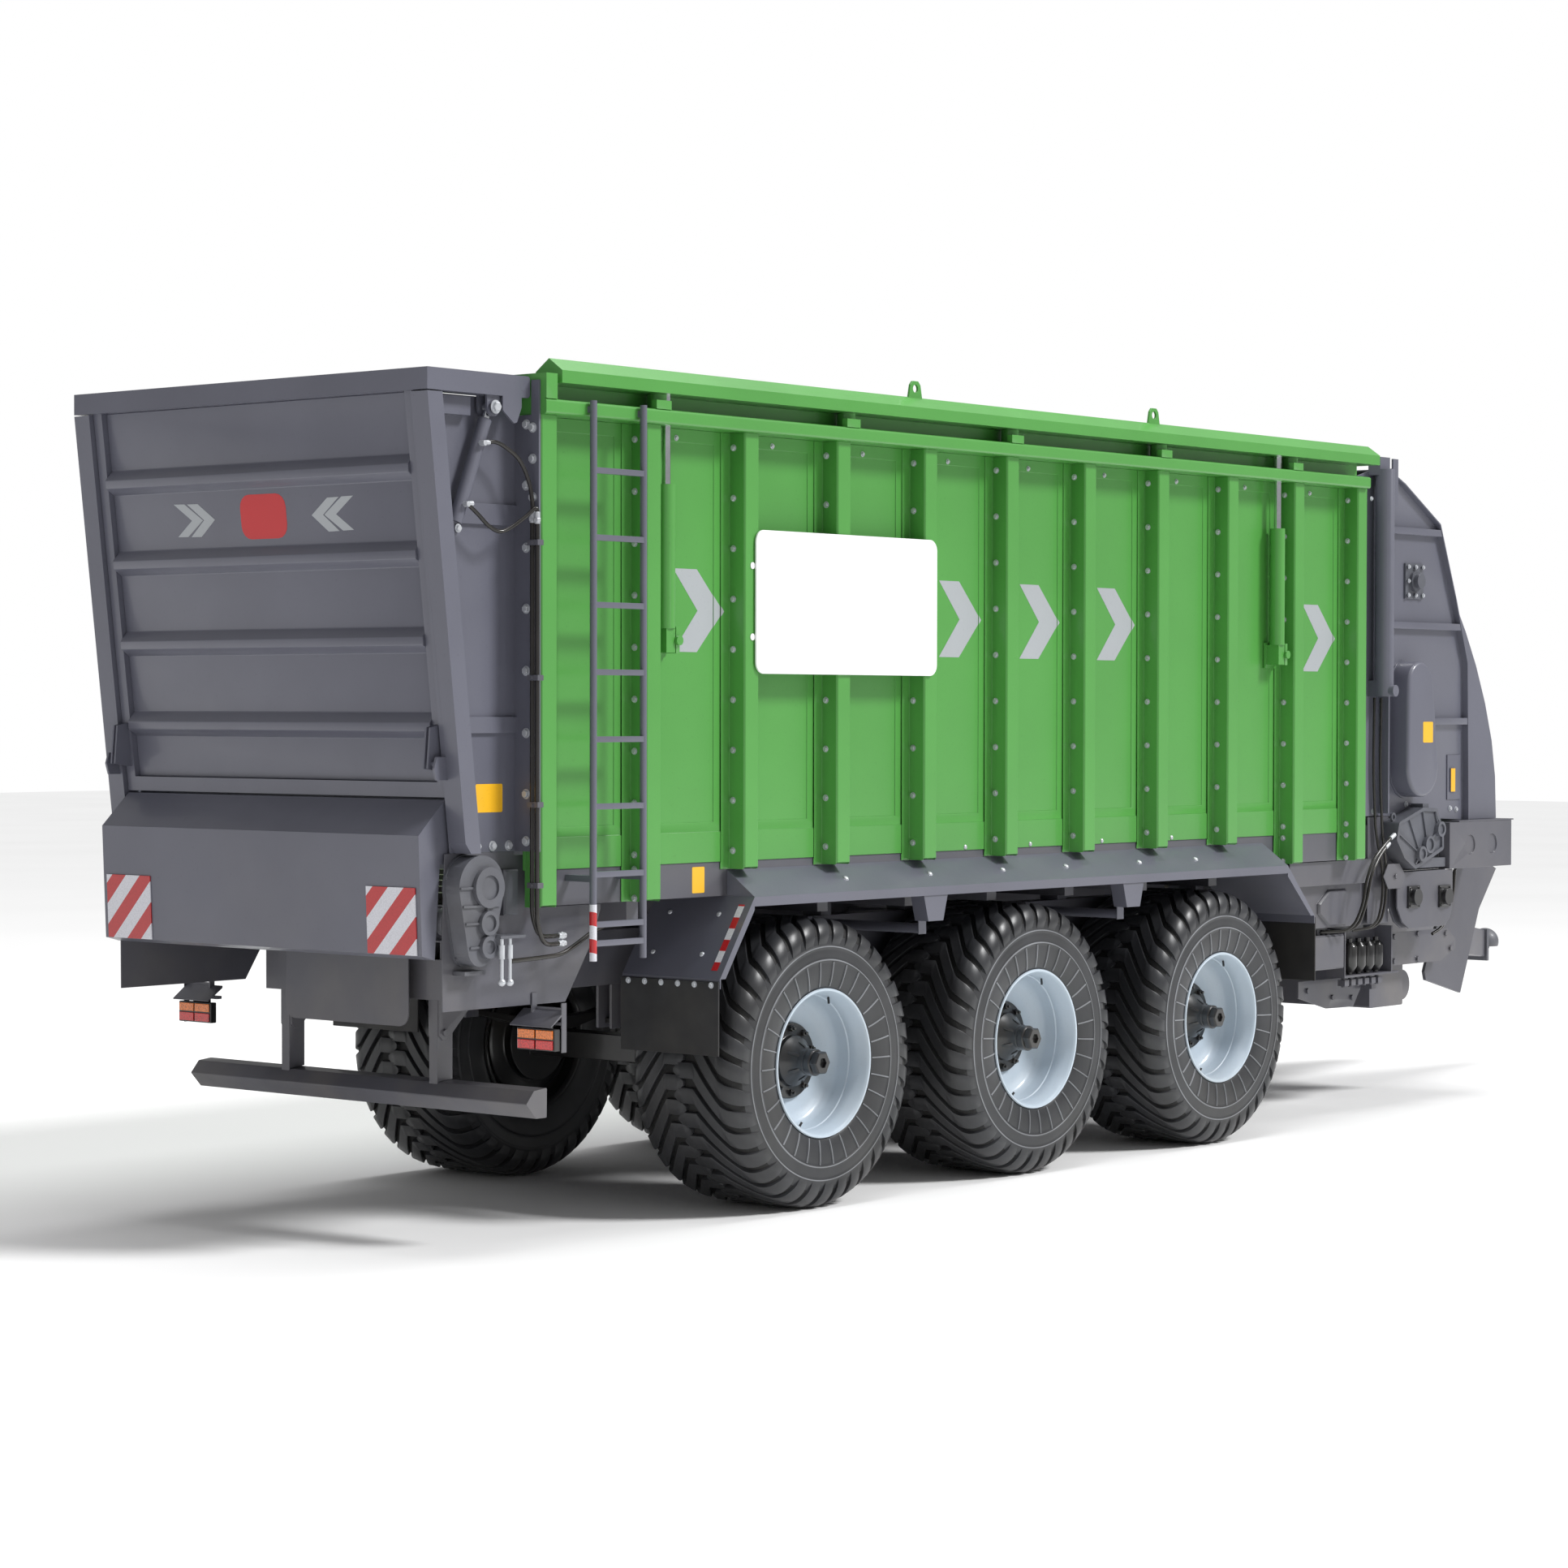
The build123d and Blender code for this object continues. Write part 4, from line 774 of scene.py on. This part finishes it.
def rim_mesh(side):
    """A deep rim with its disc and two air valves; the hidden inner half takes the second material."""
    bm = bmesh.new()
    axis = (0, side, 0)
    dish = [(0.640, 0.326), (0.628, 0.340), (0.626, 0.353), (0.632, 0.355), (0.637, 0.352), (0.640, 0.338),
            (0.700, 0.336), (0.722, 0.306), (0.800, 0.304), (0.830, 0.334), (1.242, 0.337), (1.247, 0.352),
            (1.253, 0.3552), (1.259, 0.352), (1.258, 0.343), (1.246, 0.333), (1.205, 0.330), (1.200, 0.326),
            (1.150, 0.324), (1.145, 0.319), (1.090, 0.317), (1.078, 0.310), (1.062, 0.300), (1.052, 0.286),
            (1.047, 0.272), (1.040, 0.262), (1.034, 0.235), (1.030, 0.205), (1.028, 0.19), (1.027, 0.125),
            (1.010, 0.125), (1.010, 0.200), (1.018, 0.290), (1.045, 0.312), (0.845, 0.314), (0.800, 0.292),
            (0.722, 0.292), (0.700, 0.322)]
    add_turned(bm, (0, 0, 0), axis, dish + [dish[0]], 96)
    disc_y, inner_flange_y = 1.006, 0.66
    for face in bm.faces:
        reach = max(abs(v.co.y) for v in face.verts)
        if reach < disc_y or abs(face.calc_center_median().y) < inner_flange_y:
            face.material_index = 1
    valve_r, valve_y = 0.322, 1.19
    for k in range(2):
        a = math.radians(70 + 180 * k)
        spot = Vector((valve_r * math.cos(a), side * valve_y, valve_r * math.sin(a)))
        add_rod(bm, spot, spot - Vector((math.cos(a), -0.4 * side, math.sin(a))) * 0.03, 0.006, 12, 1)
    return bm


def hub_mesh(side):
    """The brake drum, and the finned hub with its end nut and wheel nuts."""
    bm = bmesh.new()
    axis = (0, side, 0)
    body = [(0.642, 0.06), (0.642, 0.205), (0.650, 0.215), (0.660, 0.270), (0.672, 0.282), (0.690, 0.284),
            (0.786, 0.284), (0.796, 0.276), (0.800, 0.198), (0.804, 0.150),
            (0.830, 0.120), (1.022, 0.118), (1.027, 0.176), (1.033, 0.1825), (1.046, 0.1825), (1.050, 0.178),
            (1.051, 0.128), (1.055, 0.1215), (1.078, 0.1205), (1.086, 0.112), (1.110, 0.085), (1.140, 0.068),
            (1.150, 0.064), (1.165, 0.064), (1.168, 0.0615), (1.176, 0.0615), (1.178, 0.064), (1.206, 0.064),
            (1.212, 0.058), (1.212, 0.0)]
    add_turned(bm, (0, 0, 0), axis, body, 64)
    nut = [(1.210, 0.03), (1.210, 0.060), (1.240, 0.060), (1.249, 0.052), (1.249, 0.026), (1.232, 0.024),
           (1.230, 0.0)]
    add_turned(bm, (0, 0, 0), axis, nut, 6, 0, 0.26)
    for k in range(6):
        turn = Matrix.Rotation(TAU * k / 6, 4, "Y")
        fin = [(-0.007, side * 1.050, 0.062), (-0.007, side * 1.050, 0.118), (-0.007, side * 1.068, 0.113),
               (-0.007, side * 1.140, 0.074), (-0.007, side * 1.150, 0.062)]
        add_prism(bm, [turn @ Vector(p) for p in fin], turn @ Vector((0.014, 0, 0)))
    nuts, nut_circle_r = 10, 0.155
    for k in range(nuts):
        a = TAU * (k + 0.5) / nuts
        spot = Vector((nut_circle_r * math.cos(a), side * 1.049, nut_circle_r * math.sin(a)))
        add_turned(bm, spot, axis, [(0, 0), (0, 0.016), (0.016, 0.016), (0.018, 0.012), (0.018, 0.009),
                                    (0.030, 0.009), (0.031, 0.0)], 6, 0, a)
    return bm


def wheels():
    """Tyre, rim and hub of all six wheels; each row is turned a little differently."""
    kinds = {
        # The tyre's second material is painted shade in the grooves, and the third is a painted highlight on
        # the ribs and rings.
        "tyre": (tyre_mesh, [TYRE, TYRE_GROOVE_SHADE, TYRE_RIB_HIGHLIGHT], 0.0, "tyre_rubber"),
        "rim": (rim_mesh, [SILVER, BLACK], 0.0, "rim_silver"),
        "hub": (hub_mesh, [BLACK], 0.0015, "rim_silver"),
    }
    made = {(kind, side): kinds[kind][0](side) for kind in kinds for side in BOTH}
    for row, phase in (("front", 0.03), ("middle", 0.07), ("rear", 0.0)):
        for side in BOTH:
            label = f"{row}_{SIDE_NAME[side]}"
            centre = Vector(JOINTS[f"wheel_{label}_spin"]["pos_m"])
            move = Matrix.Translation(centre) @ Matrix.Rotation(phase, 4, "Y")
            for kind, (_, mats, bevel, slot) in kinds.items():
                twin = made[kind, side].copy()
                bmesh.ops.transform(twin, matrix=move, verts=twin.verts)
                replaced = [f"{kind}_{label}"] if kind != "hub" else ()
                finish_mesh(twin, f"{kind}_{label}_detail", mats, f"wheel_{label}", bevel, 38, replaced)


# ---- body ---------------------------------------------------------------------------------
# Each CAD node that keeps its shape, with its material and the width of its bevel.
REFINED = {
    "hopper_walls": (GREEN, 0.002), "side_ribs": (GREEN, 0.004), "top_rails": (GREEN, 0.005),
    "extension_right": (GREEN, 0.005), "extension_left": (GREEN, 0.005), "ladder": (GREY, 0.003),
    "lift_cylinders": (GREEN, 0.003), "hopper_floor": (GREY_DARK, 0.002), "fenders": (GREY, 0.002),
    "rear_housing": (GREY, 0.004), "tailgate_frame": (GREY, 0.005), "tailgate_panel": (GREY, 0.004),
    "gate_cylinder_right": (GREY, 0.003), "gate_cylinder_left": (GREY, 0.003),
    "gate_rod_right": (CHROME, 0.002), "gate_rod_left": (CHROME, 0.002),
    "lower_hood": (GREY, 0.004), "rear_lower_frame": (GREY_DARK, 0.003), "underrun_bumper": (GREY_DARK, 0.0),
    "rear_gearbox": (CAST, 0.005), "front_gearbox": (CAST, 0.006), "front_unit_walls": (GREY, 0.003),
    "front_cover": (GREY, 0.003), "front_screen": (GREY_DARK, 0.002), "chain_guard": (GREY, 0.0),
    "shaft_bearings": (CAST, 0.002), "front_platform": (GREY_DARK, 0.004),
    "accumulator_rack": (GREY_DARK, 0.003),
    "lower_front_frame": (GREY_DARK, 0.003), "drawbar": (GREY_DARK, 0.008), "coupling_head": (CAST, 0.004),
    "chassis_frame": (GREY_DARK, 0.003), "axle_beams": (BLACK, 0.004), "leaf_springs": (BLACK, 0.003),
    "floor_chains": (WORN, 0.002), "floor_slats": (WORN, 0.003), "floor_drive_shaft": (WORN, 0.002),
    "dosing_roller_upper": (WORN, 0.002), "dosing_roller_middle": (WORN, 0.002),
    "dosing_roller_lower": (WORN, 0.002), "feed_rotor": (WORN, 0.002), "accumulators": (BLACK, 0.0),
    "mudflaps": (RUBBER, 0.003), "sign_boards": (WHITE, 0.002), "warning_panels": (STRIPES, 0.001),
    "tail_lamps": (BLACK, 0.004), "hydraulic_lines": (HOSE, 0.0),
}


# Single solids of a node that take another material, told by their middle.
PICKS = {
    "shaft_bearings": [(BLACK, lambda spot: abs(spot.y) > WALL_Y and spot.z < 2.0)],
    "rear_gearbox": [(BRIGHT, lambda spot: abs(spot.y) > 1.18)],
}


# A bolt head's radius as a share of the CAD hexagon's width.
HEAD_SHARE = 0.46


def gate_hose(spot):
    """True for the hoses of the tailgate rams, which are built as separate pieces."""
    return spot.z > 3.1 and spot.x < -3.6


def panel_bolts():
    """Chamfered heads on washers where the CAD node has plain hexagons."""
    bm = node_mesh("panel_bolts")
    out = bmesh.new()
    for group, middle in islands(bm):
        points = [v.co for face in group for v in face.verts]
        size = [max(p[i] for p in points) - min(p[i] for p in points) for i in range(3)]
        side = 1 if middle.y > 0 else -1
        if size[0] < size[1]:
            place, axis = middle + Vector((size[0] / 2, 0, 0)), (-1, 0, 0)
        else:
            place, axis = middle - Vector((0, side * size[1] / 2, 0)), (0, side, 0)
        add_bolt(out, place, axis, max(size) * HEAD_SHARE)
    bm.free()
    finish_mesh(out, "v_panel_bolts", BRIGHT, NODES["panel_bolts"]["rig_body"],
                replaces=["panel_bolts"])


def body_pieces():
    """Every CAD node's piece, but for the wheels."""
    panel_bolts()
    for node, (mat, width) in REFINED.items():
        drop = gate_hose if node == "hydraulic_lines" else None
        refine(node, mat, width, PICKS.get(node, ()), drop)


# ---- hoses of the tailgate rams -------------------------------------------------------------
# Points (x, z, distance from the middle plane), from the ram to the pipe's end.
GATE_HOSES = {
    "upper": [(-3.893, 3.502, 1.142), (-3.840, 3.510, 1.146), (-3.781, 3.494, 1.150), (-3.700, 3.440, 1.162),
              (-3.650, 3.350, 1.172), (-3.634, 3.260, 1.178), (-3.634, 3.200, 1.178)],
    "lower": [(-3.994, 3.237, 1.142), (-3.935, 3.195, 1.146), (-3.875, 3.149, 1.150), (-3.820, 3.127, 1.158),
              (-3.765, 3.142, 1.170), (-3.695, 3.190, 1.190), (-3.645, 3.230, 1.204), (-3.634, 3.220, 1.208),
              (-3.634, 3.195, 1.208)],
}
GATE_HOSE_R = 0.009


def gate_hoses():
    """The right ram's two hoses, with a fitting at each end."""
    for name, places in GATE_HOSES.items():
        points = [at(x, -y, z) for x, z, y in places]
        obj = finish_mesh(hose_mesh(points, GATE_HOSE_R), f"gate_hose_{name}", HOSE, None)
        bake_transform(obj)
        bm = bmesh.new()
        start = points[0]
        add_rod(bm, start + Vector((-0.004, 0.022, 0)), start + Vector((-0.004, -0.012, 0)), 0.013, 6)
        add_rod(bm, start + Vector((-0.012, 0, 0)), start + Vector((0.030, 0, 0.004)), 0.0115, 18)
        finish_mesh(bm, f"ram_fitting_{name}", BRIGHT, "gate_barrel_right", 0.001)
        bm = bmesh.new()
        end = points[-1]
        add_rod(bm, end + Vector((0, 0, 0.022)), end + Vector((0, 0, -0.030)), 0.0125, 18)
        add_rod(bm, end + Vector((0, 0, -0.004)), end + Vector((0, 0, -0.022)), 0.0165, 6)
        finish_mesh(bm, f"pipe_fitting_{name}", BRIGHT, "chassis", 0.001)


def hose_ends():
    """Sleeves and nuts on the ends of the fixed hoses."""
    bm = bmesh.new()
    for z in (1.372, 1.338):
        add_rod(bm, at(-3.452, -1.160, z), at(-3.4045, -1.160, z), 0.0142, 18)
        add_rod(bm, at(-3.436, -1.160, z), at(-3.420, -1.160, z), 0.0175, 6)
    for start, end in (((3.738, -1.150, 1.636), (3.690, -1.150, 1.614)),
                       ((3.732, -1.118, 1.584), (3.688, -1.119, 1.559))):
        add_rod(bm, at(*start), at(*end), 0.0125, 18)
    finish_mesh(bm, "hose_ends", BRIGHT, "chassis", 0.001)


def pipe_clamps():
    """Bolted clamps on the two pipes down the rear post."""
    bm = bmesh.new()
    for z in (3.085, 2.50, 1.95, 1.60):
        add_box(bm, at(-3.650, -1.226, z - 0.012), at(-3.6125, -1.162, z + 0.012))
        add_bolt(bm, at(-3.650, -1.193, z), (-1, 0, 0), 0.007)
    finish_mesh(bm, "pipe_clamps", GREY_DARK, "chassis", 0.002)


# ---- films, bolts and lenses ----------------------------------------------------------------
# The pressed steps of the side sheet, measured from the middle of the rib beside them.
RIB_HALF = 0.0525
FLANGE_END = 0.1125
SWAGE_ENDS = (0.0975, 0.1575)
FLANGE_RISE, SWAGE_DEPTH = 0.006, 0.004
FILM_FACE, FILM_BACK = 0.0008, 0.0001


def wall_face(x):
    """The near face of the side sheet at a place along it, or None where a rib stands."""
    for i in range(RIB_COUNT):
        gap = x - RIB_FIRST - RIB_STEP * i
        if abs(gap) < RIB_HALF:
            return None
        if -FLANGE_END < gap < -RIB_HALF:
            return WALL_Y + FLANGE_RISE
        if SWAGE_ENDS[0] < gap < RIB_STEP - SWAGE_ENDS[1]:
            return WALL_Y - SWAGE_DEPTH
    return WALL_Y


def add_film(solids, group, side, face_y):
    """Adds a thin solid over a group of flat faces."""
    layers = {}
    for v in dict.fromkeys(v for face in group for v in face.verts):
        layers[v] = [solids.verts.new((v.co.x, side * (face_y + lift), v.co.z))
                     for lift in (FILM_FACE, FILM_BACK)]
    for face in group:
        solids.faces.new([layers[v][0] for v in face.verts])
        solids.faces.new([layers[v][1] for v in reversed(face.verts)])
        for edge in face.edges:
            if len(edge.link_faces) == 1:
                a, b = edge.verts
                solids.faces.new((layers[a][0], layers[b][0], layers[b][1], layers[a][1]))


def side_film(name, outlines, mat, level=None, sides=BOTH):
    """Thin film laid over the steps of the pressed sheet, or at one level where one is given."""
    steps = []
    for i in range(RIB_COUNT):
        middle = RIB_FIRST + RIB_STEP * i
        steps += [middle - SWAGE_ENDS[1], middle - FLANGE_END, middle - RIB_HALF, middle + RIB_HALF,
                  middle + SWAGE_ENDS[0]]
    for side in sides:
        bm = bmesh.new()
        for outline in outlines:
            face = bm.faces.new([bm.verts.new(at(x, 0, z)) for x, z in outline])
            face.normal_update()
            bmesh.ops.triangulate(bm, faces=[face])
        if level is None:
            for step in steps:
                cut = bmesh.ops.bisect_plane(bm, geom=bm.verts[:] + bm.edges[:] + bm.faces[:],
                                             plane_co=at(step, 0, 0), plane_no=(1, 0, 0), dist=SMALLEST)
                edges = [e for e in cut["geom_cut"] if isinstance(e, bmesh.types.BMEdge)]
                if edges:
                    bmesh.ops.split_edges(bm, edges=edges)
        solids = bmesh.new()
        for group, _ in islands(bm):
            middle = sum(f.calc_center_median().x for f in group) / len(group) - MID
            face_y = level if level is not None else wall_face(middle)
            if face_y is not None:
                add_film(solids, group, side, face_y)
        bm.free()
        finish_mesh(solids, f"{name}_{SIDE_NAME[side]}", mat, "chassis")


def chevron(x, z, width=0.347, height=0.38, arm=0.165):
    """Outline of a forward-pointing arrow from its lower rear corner."""
    tip = x + width
    return [(x, z + height), (x + arm, z + height), (tip, z + height / 2), (x + arm, z), (x, z),
            (tip - arm - 0.012, z + height / 2)]


def rounded(x0, x1, z0, z1, r):
    """Outline of a rectangle with rounded corners."""
    out = []
    corners = ((x1 - r, z1 - r, 0), (x0 + r, z1 - r, 90), (x0 + r, z0 + r, 180), (x1 - r, z0 + r, 270))
    for cx, cz, start in corners:
        for k in range(5):
            a = math.radians(start + 22.5 * k)
            out.append((cx + r * math.cos(a), cz + r * math.sin(a)))
    return out


# The tailgate's outer line, top and foot as (x, z), and how far its sheet is set in from it.
GATE_TOP, GATE_FOOT = (-4.241, 3.710), (-4.012, 1.790)
SHEET_SET_IN = 0.052


def gate_face(y, z):
    """A place on the outer face of the tailgate's sheet."""
    lean = (GATE_FOOT[0] - GATE_TOP[0]) / (GATE_TOP[1] - GATE_FOOT[1])
    return at(GATE_TOP[0] + lean * (GATE_TOP[1] - z) + SHEET_SET_IN, y, z)


def gate_films():
    """Two pairs of plain arrows and a plain badge on the tailgate."""
    out = Vector((-0.0012, 0, -0.00014))
    back = Vector((0.0004, 0, 0))
    bm = bmesh.new()
    for sign, shift in ((1, 0.0), (-1, 0.014)):
        for points in ([(0.576, 3.286), (0.504, 3.285), (0.388, 3.210), (0.497, 3.138), (0.565, 3.139),
                        (0.462, 3.210)],
                       [(0.486, 3.284), (0.414, 3.283), (0.308, 3.210), (0.407, 3.136), (0.475, 3.137),
                        (0.380, 3.210)]):
            add_prism(bm, [gate_face(sign * (y + shift), z) + back for y, z in points], out)
    finish_mesh(bm, "gate_arrows", DECAL, "tailgate")
    bm = bmesh.new()
    add_prism(bm, [gate_face(y, z) + back for y, z in rounded(-0.160, 0.136, 3.116, 3.313, 0.06)], out)
    finish_mesh(bm, "gate_badge", RED, "tailgate")


def tapes():
    """Banded tape down the rear slope of each mudguard and round the foot of the ladder."""
    top, foot = at(-2.244, 0, 1.500), at(-2.490, 0, 1.132)
    bm = bmesh.new()
    for side in BOTH:
        corners = [top.lerp(foot, t) + Vector((0, side * y, 0))
                   for t, y in ((0.10, 1.232), (0.10, 1.196), (0.90, 1.196), (0.90, 1.232))]
        add_prism(bm, [p + Vector((-0.0002, 0, 0.0002)) for p in corners], (-0.0008, 0, 0.0005))
    finish_mesh(bm, "fender_tape", TAPE, "chassis")
    bm = bmesh.new()
    sleeve = [(0, 0.0161), (0, 0.0168), (0.249, 0.0168), (0.249, 0.0161), (0, 0.0161)]
    add_turned(bm, at(-3.325, -1.253, 1.258), (0, 0, 1), sleeve, 28)
    finish_mesh(bm, "ladder_tape", TAPE, "chassis")


def trims():
    """Films, stickers, tapes, bolt heads and lamp lenses."""
    arrows = [chevron(x, z) for x, z in ((-2.620, 2.627), (-0.620, 2.627), (0.060, 2.627), (0.750, 2.627),
                                         (2.790, 2.587))]
    side_film("wall_chevrons", arrows, DECAL)
    stickers = (
        ("housing_stickers", rounded(-3.853, -3.687, 1.917, 2.040, 0.008), 1.050, BOTH),
        ("guard_sticker", rounded(4.010, 4.125, 2.175, 2.298, 0.008), 1.180, (-1,)),
        ("frame_stickers", rounded(-2.488, -2.402, 1.520, 1.640, 0.006), 1.099, BOTH),
        ("slot_marker", [(4.5495, 1.8735), (4.6005, 1.8735), (4.6005, 2.0145), (4.5495, 2.0145)], 1.064, BOTH),
    )
    for name, outline, level, sides in stickers:
        side_film(name, [outline], YELLOW, level, sides)
    tapes()
    gate_films()
    domes()
    lamp_lenses()


def domes():
    """Bolt heads on the mudguards, flaps, inspection plates and the tailgate's hinge."""
    slope = (0.583, 0.812)
    bm = bmesh.new()
    for side in BOTH:
        for x in (-1.473, -0.812, -0.205, 0.346, 1.017, 1.557):
            add_dome(bm, at(x, side * 1.190, 1.5574), (0, side * slope[0], slope[1]), 0.016)
        for x in (-0.408, 0.148, 0.791, 1.45):
            add_dome(bm, at(x, side * 1.105, 1.675), (0, side, 0), 0.013)
        for k in range(6):
            y = side * (0.719 + 0.1018 * k)
            add_bolt(bm, at(-2.502, y, 1.104), (-1, 0, 0))
            add_bolt(bm, at(2.667, y, 1.170), (1, 0, 0))
        for x, z in ((-2.300, 1.4162), (-2.420, 1.2366)):
            for y in (0.80, 1.10):
                add_dome(bm, at(x, side * y, z), (-0.8314, 0, 0.5558), 0.013)
        for sx in (-1, 0, 1):
            for sz in (-1, 0, 1):
                if sx or sz:
                    place = at(4.105 + sx * 0.084, side * 1.0725, 3.135 + sz * 0.084)
                    add_bolt(bm, place, (0, side, 0), 0.010)
    finish_mesh(bm, "cover_bolts", BRIGHT, "chassis")
    for name, body, place, size in (("lug_bolts", "tailgate", (-3.828, 1.144, 3.661), 0.022),
                                    ("hinge_bolts", "chassis", (-4.037, 1.126, 3.133), 0.014)):
        x, y, z = place
        bm = bmesh.new()
        for side in BOTH:
            add_bolt(bm, at(x, side * y, z), (0, side, 0), size)
        finish_mesh(bm, name, BRIGHT, body)


def lamp_lenses():
    """An amber and a red row of lenses on each tail lamp."""
    for name, mat, low, high in (("amber", AMBER, 0.925, 0.964), ("red", RED_LENS, 0.879, 0.919)):
        bm = bmesh.new()
        for side in BOTH:
            for start in (1.010, 1.119):
                add_box(bm, at(-3.5515, side * start, low), at(-3.5445, side * (start + 0.101), high))
        finish_mesh(bm, f"lamp_lenses_{name}", mat, "chassis", 0.003)


camera()
studio()
wheels()
body_pieces()
gate_hoses()
hose_ends()
pipe_clamps()
trims()
